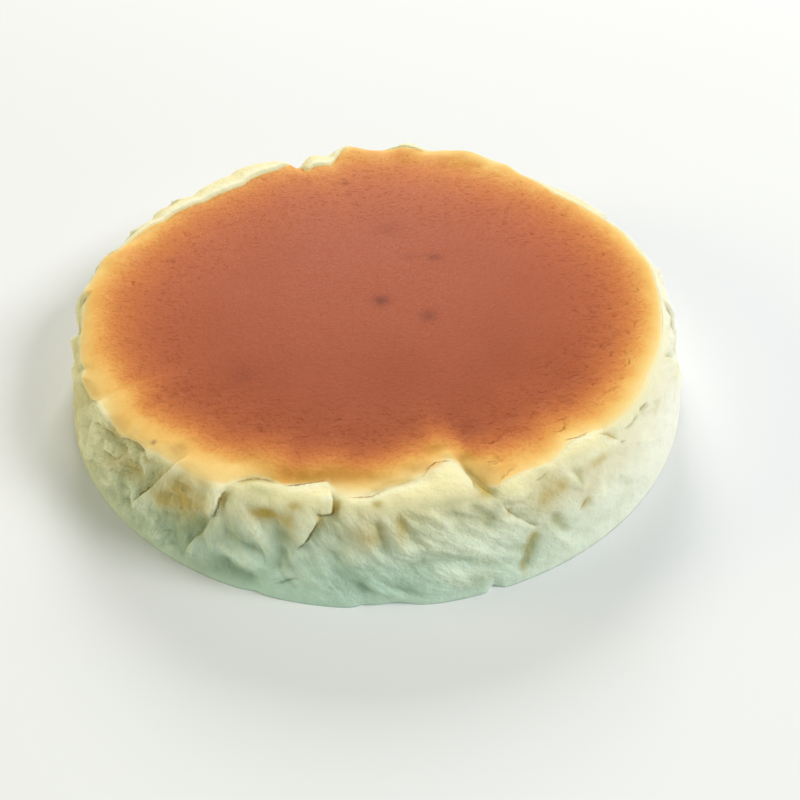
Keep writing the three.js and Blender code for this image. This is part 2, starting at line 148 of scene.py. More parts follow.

# A crease is even on both sides: a ridge where its height is positive, else a valley, and dark is how
# much of a shut crack its bottom is, told at even steps along the path: a crack's brown with painted
# shadow in it
CREASES = listed(Crease, [
    ([(246.2, 1), (247, 0.88), (248.4, 0.77), (250, 0.66), (251.4, 0.56), (252.8, 0.46)], 1.7, 2),
    ([(243.4, 0.65), (246, 0.55), (248.4, 0.5), (251.8, 0.45)], -1.2, 2.2, (0, 0.15, 0.2, 0.1)),
    ([(242.4, 0.44), (244.6, 0.4), (247.4, 0.36), (250.6, 0.29)], 1.3, 2.2),
    ([(241.4, 0.36), (244, 0.26), (246.4, 0.2), (249, 0.18), (252.2, 0.17)], -1, 2.4,
     (0, 0.1, 0.15, 0.1)),
    ([(255.2, 0.58), (253.9, 0.49), (253.3, 0.4), (253.3, 0.29)], -1.1, 2.2),
    ([(262.8, 0.84), (262.9, 0.64), (262.4, 0.46)], -0.8, 2.4),
    ([(266.2, 1), (266.5, 0.85), (267.4, 0.7), (268.6, 0.56)], 0.8, 2),
    ([(268.2, 0.96), (268.8, 0.8), (269.6, 0.66), (270.8, 0.54)], -1.2, 2, (0, 0.1, 0)),
    ([(269.4, 1.02), (270.6, 0.88), (271.6, 0.74), (273, 0.62), (275.4, 0.53)], 1.1, 1.8),
    ([(270.8, 1.04), (272.2, 0.9), (273.2, 0.78), (274.4, 0.68), (276.8, 0.59)], -1.3, 2.2),
    ([(276.2, 1.12), (277.4, 0.98), (278.8, 0.86), (280.6, 0.7)], 1.3, 1.8),
    ([(284.4, 1.54), (285.4, 1.38), (286.1, 1.26), (287, 1.13), (287.9, 1.02), (288.8, 0.92)], -2.4,
     2.2, (0, 0.1, 0.2, 0.3, 0.3, 0.2)),
    ([(283, 1.04), (285, 0.9), (286.4, 0.79), (288.6, 0.68)], -1.2, 2.4),
    ([(295, 0.52), (293.9, 0.4), (293, 0.3), (292.1, 0.19), (291.2, 0.06)], -1.4, 1.8,
     (0.4, 0.3, 0.2, 0.2)),
    ([(297, 0.64), (298.2, 0.52), (299.4, 0.42), (301.2, 0.28)], -0.8, 2, (0, 0.1, 0)),
    ([(295.8, 0.52), (298, 0.36), (300.4, 0.2), (303, 0.02)], 1, 1.9),
    ([(299.4, 1.04), (301.4, 0.93), (302.8, 0.84), (303.8, 0.7), (304.8, 0.56)], 1, 1.8),
    ([(301.8, 1.02), (303.4, 0.88), (304.1, 0.7)], -0.9, 1.7, (0, 0.15, 0)),
])

# Thin creases and cracks, which the solid leaves out
FINE_CREASES = listed(Crease, [
    ([(244.2, 1.06), (244.8, 1.14), (246, 1.2), (247.6, 1.24), (249.5, 1.255), (251.2, 1.24),
     (252.8, 1.2)], -1.2, 1.7, (0.6, 0.6, 0.5, 0.45, 0.45, 0.6, 0.8)),
    ([(252, 0.16), (254, 0.2), (255.4, 0.25), (256.6, 0.285)], -0.6, 1.1, (0.3, 0.45, 0.3)),
    ([(289, 1.12), (290.6, 1.18), (292.2, 1.22), (294.4, 1.25)], -0.5, 1, (0.3, 0.4, 0.1)),
    ([(295, 1.015), (297, 1.03), (298.6, 1.06)], -0.6, 0.9, (0.2, 0.4, 0.2)),
    ([(296.6, 1.09), (298.8, 1.17)], 0.5, 0.9),
    ([(302.8, 0.46), (304.2, 0.515), (305.4, 0.58)], -0.8, 1, (0.2, 0.45, 0.2)),
    ([(314, 0.89), (315.6, 0.85)], -0.4, 0.8, (0.4,)),
    ([(315.6, 0.99), (318, 0.95), (320.2, 0.965), (321.6, 0.97)], -0.5, 0.9, (0.2, 0.4, 0.3)),
    ([(321.4, 0.99), (323.4, 0.975), (325.4, 0.955)], -0.8, 1, (0.4, 0.6, 0.3)),
    ([(271.6, 0.44), (275.5, 0.465), (279, 0.45), (284.6, 0.41)], -0.6, 1.4),
    ([(274.4, 0.28), (276.6, 0.36), (279.6, 0.35), (281.8, 0.27), (283, 0.14)], 0.6, 1.6),
    ([(286.4, 0.44), (288.6, 0.3), (290.2, 0.18)], -0.6, 1.5),
    ([(264, 0.47), (266.4, 0.41), (269.4, 0.37)], -0.6, 1.2),
    ([(263.8, 0.68), (265.2, 0.55), (267.2, 0.45)], 0.6, 1.4),
    ([(259, 0.5), (260.6, 0.34), (261, 0.16)], 0.6, 1.7),
    ([(265.4, 0.3), (266.6, 0.22), (266.6, 0.12)], -0.6, 1.5),
    ([(198, 0.2), (201.4, 0.32), (205, 0.46)], -0.6, 1.8),
    ([(201, 0.3), (204, 0.42), (207.4, 0.54), (209.6, 0.66)], 0.7, 1.6),
    ([(205, 0.5), (207.6, 0.58), (210, 0.68)], -0.6, 1.2, (0.1, 0.2, 0.1)),
    ([(207, 0.12), (209.6, 0.22), (212, 0.33)], -0.6, 1.4),
    ([(210.4, 0.1), (213.4, 0.2), (216, 0.32)], 0.6, 1.4),
    ([(211.4, 0.78), (212.6, 0.8), (213.8, 0.84)], -0.9, 1, (0.2, 0.5, 0.3)),
    ([(213.8, 0.82), (216.2, 0.825), (218, 0.85)], -0.9, 1, (0.3, 0.5, 0.3)),
    ([(214.4, 0.9), (216, 0.875), (218, 0.885)], 0.6, 1),
    ([(218.6, 0.8), (220.6, 0.82), (222, 0.87)], -0.8, 1, (0.1, 0.4, 0.2)),
    ([(214.6, 0.73), (216.8, 0.755), (219, 0.79)], 0.9, 1.1),
    ([(212.4, 0.5), (215, 0.56), (218, 0.6), (219.6, 0.67), (220.6, 0.75), (221.6, 0.82)], -1.2, 1.2,
     (0.1, 0.3, 0.5, 0.4, 0.3)),
    ([(214.6, 0.62), (217, 0.66), (218.6, 0.73)], 0.9, 1.2),
    ([(221, 0.72), (222.4, 0.78), (224.6, 0.8)], 0.7, 1.1),
    ([(221, 0.63), (223.5, 0.67), (226, 0.7)], -0.9, 1, (0.2, 0.4, 0.2)),
    ([(222, 0.74), (223.4, 0.76), (225, 0.75)], -0.6, 0.9, (0.2, 0.3)),
    ([(218.2, 0.54), (221, 0.57), (224.4, 0.63)], -1, 1.1, (0.1, 0.4, 0.2)),
    ([(219, 0.6), (221, 0.62), (223.6, 0.64)], 0.8, 1),
    ([(216, 0.44), (219, 0.49), (222.4, 0.53)], -0.8, 1.2, (0, 0.2, 0.1)),
    ([(212, 0.36), (215.4, 0.44), (218.6, 0.51)], 0.9, 1.3),
    ([(219.4, 0.38), (222, 0.41), (224, 0.46)], -0.8, 1.1, (0, 0.3, 0.1)),
    ([(220.4, 0.25), (222.6, 0.3), (224.6, 0.33)], -1.1, 1.4, (0, 0.3, 0.2)),
    ([(214.8, 0.22), (218, 0.31), (220.4, 0.4)], 0.8, 1.3),
    ([(216, 0.1), (218.6, 0.2), (220.6, 0.3)], -0.6, 1.2),
    ([(225.6, 0.27), (229, 0.33), (233, 0.36)], 0.7, 1.3),
    ([(226.6, 0.34), (230, 0.43), (234.6, 0.5), (237.4, 0.56)], -1, 1.5),
    ([(228, 0.2), (231.4, 0.26), (235.2, 0.32)], -0.7, 1.2, (0, 0.2, 0)),
    ([(226.4, 0.1), (230.6, 0.16), (234.2, 0.24)], 0.8, 1.3),
    ([(230.4, 0.05), (232.6, 0.14), (235, 0.2)], -0.7, 1.1),
    ([(229.6, 0.52), (232.6, 0.56), (236, 0.6)], 0.6, 1.3),
    ([(230.6, 0.66), (233.4, 0.7), (236.6, 0.71)], -0.8, 1.1, (0.1, 0.2)),
    ([(232, 0.6), (235, 0.65), (238.8, 0.67)], 0.7, 1),
    ([(231.8, 0.77), (234.4, 0.81), (237.8, 0.8)], 0.8, 1.1),
    ([(233, 0.87), (235.4, 0.88), (238.6, 0.86)], -0.7, 1, (0.1, 0.2)),
    ([(234.4, 0.94), (237, 0.95), (239.6, 0.93)], 0.6, 1),
    ([(307.4, 0.8), (308.4, 0.6), (307.8, 0.4)], 0.5, 2),
    ([(309.6, 0.92), (312.6, 0.8), (315.6, 0.68)], -0.5, 2),
    ([(312.4, 0.62), (314.2, 0.44), (317, 0.28)], -0.5, 2.2),
    ([(317.6, 0.8), (321.4, 0.62), (324, 0.42)], 0.5, 2.4),
])

# A mound is a soft swelling, or a dimple where its height is negative: its place, how wide it is in
# degrees, how tall in levels, and its height
MOUNDS = listed(Mound, [
    (212.6, 0.98, 2, 0.07, 0.8), (219.6, 0.83, 2.4, 0.06, -0.6), (223.6, 0.9, 1.6, 0.07, 0.8),
    (229.6, 0.82, 2.4, 0.16, -1.2), (235, 0.72, 4.6, 0.2, -0.8), (241.8, 0.98, 1.6, 0.14, 0.8),
    (239.6, 0.53, 1.6, 0.12, -0.8), (245.6, 0.94, 1.4, 0.12, 1.1), (249.6, 1.13, 3.2, 0.07, 0.7),
    (251.4, 0.82, 3, 0.12, -2.2), (253.6, 0.68, 2, 0.12, -1.6), (255, 0.42, 1.7, 0.1, 0.9),
    (257, 1.12, 4, 0.1, 0.9), (266, 1.08, 3.6, 0.08, 0.7), (274, 1.18, 3.6, 0.1, 0.8),
    (280.6, 1.3, 3.4, 0.14, 1.2), (282.8, 1.565, 1.3, 0.035, 0.8), (286.4, 1.02, 1.2, 0.07, 0.8),
    (281.4, 0.6, 4, 0.14, 1.2), (277.6, 0.2, 3.6, 0.12, 1), (291.8, 1, 2.6, 0.09, 1),
    (289.8, 0.79, 0.5, 0.03, -0.9), (307.5, 1.08, 4, 0.11, 1.2),
])

# Where the rim stands out or in, and where the foot is nicked: the angle, how far the change spreads in
# degrees, and its size
RIM_BULGES = listed(Edge, [
    (6, 5, 0.8), (56, 3, 1.2), (66, 7, 3), (81, 3.5, 2.3), (95, 3.5, 1.4), (100, 40, 1),
    (100.5, 2, -1.4), (108, 2.3, -3.6), (122, 6, 1), (125, 1.8, -0.7), (136, 1.8, -0.8),
    (148, 1.8, -0.8), (166, 4, 1.9), (178, 6, 1),
])
FOOT_NICKS = listed(Edge, [(249, 1.4, -0.8), (266.4, 1.6, -1.2), (271, 3.4, -2.2), (286.9, 1, -2.4)])

# The stretch from the right side round the back, whose folds are drawn from a seed as the solid's are
DRAWN_FROM, DRAWN_TO, DRAWN_SPACING, SEED = 342, 558, 11.5, 20

# Where the pale wall ends and the baked colour starts. jump is how many millimetres of the change are
# skipped there, where a flap of pale wall lies on the browned top, and lag is how many the change falls
# behind within the next BAKE_LAG_REACH.
BAKES = listed(Bake, [
    (0, 1.1, 3), (10, 1.08, 2.5), (20, 1.06, 2.3), (30, 1.16, 5), (40, 1.225, 8), (50, 1.12, 4),
    (60, 1.08, 1), (72, 1.02, 2), (76, 1.1, 4), (80.5, 1.18, 7), (84, 1.13, 6), (88, 1.02, 3.5),
    (92, 1.02, 3.5), (96, 1.13, 5), (98, 1.23, 7), (100.5, 1.34, 8), (103.5, 1.385, 9), (106.8, 1.35, 9),
    (107.8, 1.06, 5), (110, 1.08, 5), (111.2, 1.23, 8), (114.2, 1.3, 10), (119, 1.33, 11),
    (124.5, 1.385, 11), (129, 1.385, 11), (135.5, 1.33, 10), (141, 1.29, 9), (147, 1.23, 7),
    (154.5, 1.17, 4), (163, 1.06, 3, 3), (180, 1, 1.5, 2), (196, 0.98, 2, 4), (200.6, 0.99, 2, 4.5),
    (203, 0.93, 2, 8), (208, 0.93, 2, 8), (210.2, 1, 2, 6), (211, 1.03, 1, 6), (214.2, 1.01, 1, 6),
    (216.4, 0.95, 2, 8), (218.4, 0.94, 2, 8), (220.4, 0.98, 2, 7), (223.4, 1.02, 2, 6),
    (226.4, 1.02, 1, 6), (228.4, 1.05, 1, 6), (232.5, 1.05, 1, 7), (236, 1.03, 1, 7), (240, 1.04, 1, 8),
    (243, 1.07, 1, 8), (244.4, 1.15, 1, 5), (247, 1.26, 3, 3), (249.5, 1.27, 4, 3), (252.5, 1.22, 5, 3),
    (256, 1.28, 5, 3), (258.4, 1.31, 4, 2), (260, 1.32, 3, 2), (262, 1.24, 0, 2), (265, 1.22, 0, 2),
    (268, 1.26, 1, 2), (272, 1.32, 1, 2), (276, 1.38, 1, 3), (278.4, 1.4, 1, 3), (281, 1.46, 1, 3),
    (282.2, 1.5, 1, 2), (283.6, 1.49, 2, 2), (284.8, 1.43, 3, 4), (286, 1.34, 1, 5), (287.4, 1.16, 1, 8),
    (289, 1.1, 2, 9), (291, 1.14, 3, 8), (295, 1.15, 2, 4), (300, 1.13, 1, 2.5), (305, 1.22, 2, 2),
    (307.4, 1.21, 2, 2), (310.4, 1.17, 2, 2), (313, 1.12, 1, 2), (320, 1.09, 0.5, 1.5),
    (325, 1.1, 0.5, 1.5), (330, 1.13, 1), (335, 1.13, 1.2), (340, 1.12, 1.6), (350, 1.11, 2.3),
])

# Places where the wall is stained tan, strongest at height 1; the one beside the step at 259.6 degrees is
# painted shadow
STAINS = listed(Mound, [
    (204.6, 0.89, 2.2, 0.03, 0.5), (219, 0.91, 1.8, 0.03, 0.7), (222.6, 1.01, 2, 0.03, 0.5),
    (227, 0.9, 0.8, 0.03, 0.9), (223, 0.68, 3.4, 0.12, 0.5), (218, 0.55, 3, 0.1, 0.3),
    (236, 0.84, 4.6, 0.16, 0.75), (234.6, 0.64, 4.6, 0.16, 0.75), (195, 0.94, 4, 0.08, 0.35),
    (238.4, 1.02, 3, 0.05, 0.6), (239.6, 0.76, 1.6, 0.12, 0.4), (230.8, 0.6, 1.8, 0.1, 0.4),
    (243.6, 0.9, 0.55, 0.11, 1), (250.6, 0.86, 3.2, 0.09, 1), (255, 0.86, 1.5, 0.1, 0.7),
    (251, 0.9, 1.2, 0.05, 0.6), (255.6, 1.02, 1.4, 0.05, 0.8), (262, 1.07, 0.8, 0.07, 1),
    (259.6, 0.91, 0.7, 0.07, 0.8), (268.8, 1.1, 0.9, 0.035, 0.8), (267.4, 0.8, 2.8, 0.16, 0.75),
    (272.4, 0.84, 1.1, 0.16, 0.8), (277.8, 1.36, 1.6, 0.05, 0.4), (287, 1.24, 0.9, 0.2, 0.8),
    (286.2, 1.06, 1.3, 0.05, 0.5), (305, 0.68, 3, 0.14, 0.3), (314, 0.72, 4.6, 0.14, 0.22),
    (289.7, 0.79, 0.5, 0.04, 1), (294.2, 0.44, 0.8, 0.08, 0.6), (293.2, 0.31, 0.7, 0.09, 0.5),
    (292, 0.16, 0.6, 0.09, 0.4), (296.8, 0.84, 3.2, 0.18, 0.7), (299.8, 0.84, 1.6, 0.1, 0.5),
    (304.6, 0.53, 1.3, 0.06, 0.45), (307.6, 0.89, 2.8, 0.06, 0.8), (312.2, 1.05, 0.9, 0.05, 0.8),
    (327.4, 0.82, 1.8, 0.08, 0.25),
])

# Places of painted shade: olive on the wall, and grey-green within the painted cool shade of the front
SHADES = listed(Mound, [
    (229.6, 0.8, 1.8, 0.18, 0.6), (215, 0.14, 6, 0.12, 0.3), (222.4, 0.29, 2.6, 0.07, 0.7),
    (226, 0.14, 5, 0.14, 0.4), (233, 0.38, 6, 0.13, 0.6), (237, 0.16, 6, 0.18, 0.4),
    (239.4, 0.5, 1.8, 0.12, 0.7), (244, 0.13, 5, 0.1, 0.6), (249.4, 1.13, 2.8, 0.06, 0.5),
    (245, 0.66, 1.8, 0.12, 0.55), (253.4, 0.7, 1.8, 0.1, 0.7), (246.4, 0.24, 4, 0.06, 0.4),
    (259.2, 0.86, 0.9, 0.12, 0.5), (262.6, 0.62, 1.8, 0.14, 0.25), (280, 1.04, 3.6, 0.06, 0.45),
    (269, 1.26, 1.8, 0.025, 0.5), (272, 1.32, 3.4, 0.035, 0.9), (277.6, 0.55, 5, 0.07, 0.3),
    (286.8, 0.78, 1.8, 0.1, 0.45), (266, 0.32, 5, 0.2, 0.35), (284, 0.18, 3.4, 0.13, 0.6),
    (295, 0.42, 3, 0.15, 0.35), (289.6, 0.9, 2, 0.05, 0.4), (255, 0.65, 2, 0.1, 0.6),
    (245, 0.5, 3, 0.16, 0.35), (206, 0.62, 5, 0.24, 0.45), (298.6, 0.5, 1, 0.12, 0.4),
    (303.4, 0.84, 0.9, 0.12, 0.35),
])

# Bands of the same painted shade along valleys and gaps, with their widths in millimetres and their
# strengths told at even steps
SHADE_BANDS = listed(Band, [
    ([(203, 0.9), (206, 0.885), (209.6, 0.93)], 1, (0.3, 0.4, 0.4)),
    ([(216.6, 0.91), (219, 0.9), (220.6, 0.93)], 1, (0.3, 0.5, 0.4)),
    ([(220.6, 0.94), (222, 1), (224, 1.01), (226.4, 0.96)], 1.1, (0.4, 0.7, 0.7, 0.5)),
    ([(223.4, 0.38), (226, 0.56), (228.8, 0.76), (230.6, 0.92)], 3.2, (0.3, 0.5, 0.4, 0.2)),
    ([(235.4, 0.18), (236, 0.33), (237.6, 0.45), (239.4, 0.57)], 2.6, (0.5, 0.8, 0.9, 0.7)),
    ([(240.2, 0.31), (243, 0.24), (247, 0.2), (251.6, 0.17)], 2.8, (0.3, 0.4, 0.4, 0.3)),
    ([(243.6, 0.63), (247, 0.55), (249.6, 0.49), (251.8, 0.46)], 2.6, (0.2, 0.4, 0.4, 0.3)),
    ([(252, 1.24), (255, 1.28), (257.6, 1.335), (259.6, 1.37), (260.4, 1.44)], 1.2,
     (0.3, 0.5, 0.6, 0.6, 0.3)),
    ([(260.2, 0.97), (259.8, 0.86), (258.6, 0.74), (257, 0.64)], 1.5, (0.7, 0.6, 0.4, 0.3)),
    ([(264, 1.2), (267, 1.215), (269, 1.27), (272, 1.325), (275, 1.365), (277.6, 1.42)], 1.6,
     (0.3, 0.4, 0.6, 0.7, 0.7, 0.5)),
    ([(268, 0.95), (268.8, 0.8), (269.8, 0.66), (271.4, 0.55)], 1.5, (0.3, 0.5, 0.5, 0.3)),
    ([(270.4, 1), (271.5, 0.93), (272.8, 0.84), (274, 0.74), (275.8, 0.64)], 2,
     (0.2, 0.4, 0.4, 0.3, 0.2)),
    ([(271.8, 0.45), (276, 0.465), (281, 0.47), (285, 0.39), (288, 0.29), (290, 0.2)], 1.8,
     (0.3, 0.4, 0.3, 0.5, 0.5, 0.3)),
    ([(282, 1.02), (284, 0.94), (286, 0.83), (288.6, 0.7)], 2.6, (0.3, 0.4, 0.4, 0.3)),
    ([(288.6, 0.92), (290.5, 0.87), (293, 0.86), (295, 0.93)], 1, (0.5, 0.5, 0.3, 0.3)),
    ([(295, 0.5), (294, 0.42), (293, 0.3), (292.2, 0.18), (291.3, 0.08)], 1.4,
     (0.6, 0.7, 0.6, 0.5, 0.3)),
    ([(297.3, 0.64), (298.4, 0.52), (299.6, 0.4), (301, 0.3)], 1.8, (0.3, 0.4, 0.4, 0.3)),
    ([(301.6, 1.04), (303, 0.92), (303.8, 0.8), (304, 0.68)], 1.3, (0.4, 0.5, 0.5, 0.3)),
])

# Bands of tan stain: along the skin's edge on the left, in the groove of the front and in the slots
# between sheets; the last is painted shade, an olive-gold shadow in the soft fold round the left lobe
STAIN_AND_SHADE_BANDS = listed(Band, [
    ([(200, 0.95), (203, 0.89), (208, 0.89), (210, 0.95)], 1.3, (0.3, 0.5, 0.5, 0.3)),
    ([(214.6, 0.98), (216.6, 0.91), (219, 0.9), (221, 0.95)], 1.3, (0.4, 0.7, 0.8, 0.5)),
    ([(284.7, 1.5), (285.5, 1.34), (286.2, 1.22), (287.2, 1.1), (288.2, 1)], 1.3, (0.5, 0.8, 1, 1, 0.8)),
    ([(242.9, 0.81), (243.7, 0.9), (244.1, 0.97), (244.4, 1.04)], 0.7, (0.9, 1, 1, 0.8)),
    ([(262, 1.16), (262.1, 1.08), (262.2, 1.01)], 1, (0.9, 1, 0.9)),
    ([(311, 1.1), (311.9, 1.06), (312.8, 1), (313.6, 0.94)], 0.9, (0.8, 1, 0.8, 0.5)),
    ([(243.9, 1.05), (244.7, 1.13), (246, 1.2), (247.8, 1.245), (250, 1.255), (252.2, 1.22)], 1.6,
     (0.7, 0.8, 0.8, 0.7, 0.6, 0.5)),
])

# Patches where the skin is a deeper, darker gold
DEEP_GOLD_PATCHES = listed(Mound, [
    (231.4, 1.22, 1.8, 0.07, 0.5), (246, 1.42, 5, 0.1, 0.3), (255.6, 1.34, 6, 0.1, 0.85),
    (261, 1.44, 4, 0.1, 0.5), (268, 1.4, 5, 0.09, 0.6), (276, 1.48, 3, 0.07, 0.5),
    (281, 1.66, 2.4, 0.06, 0.6), (280.5, 1.45, 3, 0.07, 0.22), (286.6, 1.5, 2.2, 0.06, 0.7),
    (288.6, 1.3, 2.2, 0.12, 0.6),
])

# Lobes of paler cream, partly their own colour and partly painted light where they tilt away from the
# lamps; whiter within the painted cool shade
CREAMS_AND_HIGHLIGHTS = listed(Mound, [
    (212.6, 0.96, 1.5, 0.06, 0.8), (215, 0.88, 1.6, 0.05, 0.4), (224.6, 0.91, 1.8, 0.08, 0.85),
    (255, 0.3, 3, 0.12, 0.4), (275.4, 0.64, 2.6, 0.1, 0.5), (230.6, 1.04, 1.8, 0.06, 0.6),
    (234, 1.1, 0.9, 0.12, 0.6), (241.9, 0.98, 1.3, 0.14, 0.5), (253.6, 1.08, 5.4, 0.075, 0.9),
    (275, 0.92, 2.2, 0.08, 0.4), (245, 0.9, 1.5, 0.1, 0.5), (264.8, 0.64, 2, 0.1, 0.4),
    (259.6, 1.14, 1.5, 0.09, 0.7), (266, 1.12, 2.6, 0.05, 0.5), (275, 1.2, 3, 0.08, 0.4),
    (281, 1.32, 3, 0.12, 0.5), (283, 1.56, 1.2, 0.04, 0.4), (286.2, 1.02, 1.2, 0.06, 0.6),
    (291.6, 1, 2.5, 0.085, 0.9), (307.6, 1.1, 2.6, 0.08, 0.6), (311, 0.99, 1.5, 0.06, 0.7),
])
CREAM_AND_HIGHLIGHT_BANDS = listed(Band, [
    ([(240.2, 0.66), (241.3, 0.76), (241.9, 0.86), (242.3, 0.95), (243, 1.04)], 1.8,
     (0.6, 1, 1, 1, 0.6)),
    ([(255.4, 0.62), (256.4, 0.7), (257.3, 0.8), (257.8, 0.9), (258.4, 0.98)], 1.7,
     (0.8, 1, 1, 0.9, 0.6)),
    ([(225, 0.37), (227.7, 0.54), (230.3, 0.72), (232.1, 0.88), (233.2, 1.02)], 0.9,
     (0.5, 0.5, 0.6, 0.7, 0.7)),
    ([(242.6, 0.44), (246, 0.37), (251, 0.22)], 1.2, (0.4, 0.5, 0.5)),
    ([(246.2, 0.98), (247, 0.87), (248.4, 0.76), (250, 0.65), (251.4, 0.55), (252.4, 0.47)], 1.1,
     (0.7, 0.8, 0.8, 0.7, 0.5)),
    ([(276.2, 1.08), (277.2, 0.96), (278.6, 0.85), (279.8, 0.77)], 1.1, (0.6, 0.9, 0.8, 0.6)),
    ([(300, 1), (301.6, 0.92), (303, 0.8)], 1, (0.6, 0.6, 0.4)),
])

# Painted cool shade: the low front of the wall, which lies in shade, is painted a darker, grey-green white
COOL_SHADE_FOOT = Mound(259, 0.14, 44, 0.66, 1)

# The left side of the wall is yellower, and darker with painted shade; the right side is whiter with
# painted light, where the key lamp falls
WARM_SIDE = Mound(200, 0.6, 34, 1.3, 1)
WHITE_SIDE = Mound(352, 0.3, 38, 0.9, 1)

# Smudges of the browned top: place and size in millimetres, and strength
SMUDGES = listed(Smudge, [
    (2, -8, 3.4, 1), (20, -19, 3.6, 0.75), (25, 21, 3, 0.7), (7, 43, 5, 0.3), (-49, -51, 4.5, 0.35),
    (31, -81, 5, 0.35), (15, 22, 3, 0.3), (-78.1, -82.3, 0.9, 1), (-12, 84, 1.6, 0.8),
])


class Draws:
    """Evenly spread numbers, always the same ones: each state is the last one times FACTOR, plus STEP,
    less as many whole SPANs as it holds."""

    FACTOR, STEP, SPAN = 1664525, 1013904223, 2 ** 32

    def __init__(self, seed):
        self.state = seed

    def between(self, low, high):
        """The next number, as far from low to high as the state is from 0 to SPAN."""
        self.state = (self.state * self.FACTOR + self.STEP) % self.SPAN
        return low + (high - low) * self.state / self.SPAN


def drawn_folds():
    """A leaning pleat at each step round the cake, and beside it a ridge, a valley and a mound."""
    between = Draws(SEED).between
    pleats, creases, mounds = [], [], []
    for angle in np.arange(DRAWN_FROM, DRAWN_TO, DRAWN_SPACING):
        at = angle + between(-2.5, 2.5)
        lean = between(-4, 4)
        foot = between(0.05, 0.4)
        top = between(0.98, 1.16)
        bow = between(-1.6, 1.6)
        size = between(1.2, 2.2)
        step = size if between(0, 1) < 0.5 else -size
        path = [(at - lean, foot), (at + bow, (foot + top) / 2), (at + lean, top)]
        pleats.append(Pleat(path, -step, 0.8 * step, between(5, 8), 0.9, (0.15,)))
        ridge_highlight, valley_shade = between(0.9, 1.7), -between(0.9, 1.7)
        for height in (ridge_highlight, valley_shade):
            start = at + between(2.5, 8)
            slant = between(-7, 7)
            low = between(0.08, 0.45)
            high = low + between(0.3, 0.55)
            creases.append(Crease([(start, low), (start + slant, high)], height, between(2.4, 3.6)))
        place = at + between(3, 8), between(0.92, 1.08)
        mounds.append(Mound(*place, between(2.6, 4.6), between(0.09, 0.15), between(-0.6, 1.4)))
    return pleats, creases, mounds


# Short cracks in the browned skin: how many lie in a field, from one angle to another and between two
# radii, how long they are, and how far they turn from running along the rim
CRACK_SEED = 7
CRACK_FIELDS = listed(Field, [
    (60, -24, 62, 78, 108, 1.5, 6, 1.4), (46, -72, -10, 80, 106, 2, 9, 0.4),
    (22, 205, 275, 70, 100, 1.5, 7, 0.5), (14, 70, 200, 80, 104, 1.5, 5, 0.8),
])
CRACK_CORNERS = 6


def drawn_cracks():
    """Wandering cracks, each a few even steps with a jump sideways at every corner."""
    between = Draws(CRACK_SEED).between
    cracks = []
    for field in CRACK_FIELDS:
        for _ in range(field.count):
            angle, radius = between(field.start, field.end), between(field.inner, field.outer)
            long, slant = between(field.shortest, field.longest), between(-field.slant, field.slant)
            depth = between(0.15, 0.45)
            path = []
            for step in np.linspace(-0.5, 0.5, CRACK_CORNERS) * long:
                around = step * np.cos(slant)
                inwards = RIM_RADIUS - radius + step * np.sin(slant) + between(-0.12, 0.12) * long
                path.append((angle + np.degrees(around / radius), 1 + inwards / WALL_LENGTH))
            cracks.append(Crease(path, -depth, between(0.8, 1.3), (between(0.2, 0.7),)))
    return cracks


def drawn_stains():
    """A soft tan patch high on the wall at every other step of the drawn stretch."""
    between = Draws(SEED + 1).between
    stains = []
    for angle in np.arange(DRAWN_FROM, DRAWN_TO, 2 * DRAWN_SPACING):
        place = angle + between(-6, 6), between(0.7, 0.95)
        stains.append(Mound(*place, between(2, 5), between(0.08, 0.2), between(0.1, 0.4)))
    return stains


def smooth(x, low, high):
    """0 below low, 1 above high, and an S-shaped rise between them."""
    share = np.clip((x - low) / (high - low), 0, 1)
    return share * share * (3 - 2 * share)


def within(x, low, full, falling, high):
    """0 up to low, 1 from full to falling and 0 from high on, with S-shaped changes between them."""
    return smooth(x, low, full) * (1 - smooth(x, falling, high))


def turn(start, end):
    """The turn from one angle to another by the short way round."""
    return (end - start + 540) % 360 - 180


def profile(distance):
    """The smooth cake's radius, height and normal at distances from the foot, up the wall and on over
    the top. Wall and top are straight, and the direction turns evenly from one to the other over the
    shoulder, so that the corner is a parabola."""
    past = distance - WALL_LENGTH
    turned = np.clip((past + SHOULDER) / (2 * SHOULDER), 0, 1)
    over_top = np.where(past > SHOULDER, past, SHOULDER * turned ** 2)
    up_wall = distance - over_top
    tuck = FOOT_TUCK * np.exp(-distance / FOOT_ROUND)
    radius = FOOT_RADIUS + WALL_DIRECTION[0] * up_wall - over_top - tuck
    height = WALL_DIRECTION[1] * up_wall + CROWN * turned * (1 - (radius / RIM_RADIUS) ** 2)
    out = WALL_DIRECTION[1] * (1 - turned)
    up = -WALL_DIRECTION[0] * (1 - turned) + turned
    length = np.hypot(out, up)
    return radius, height, out / length, up / length


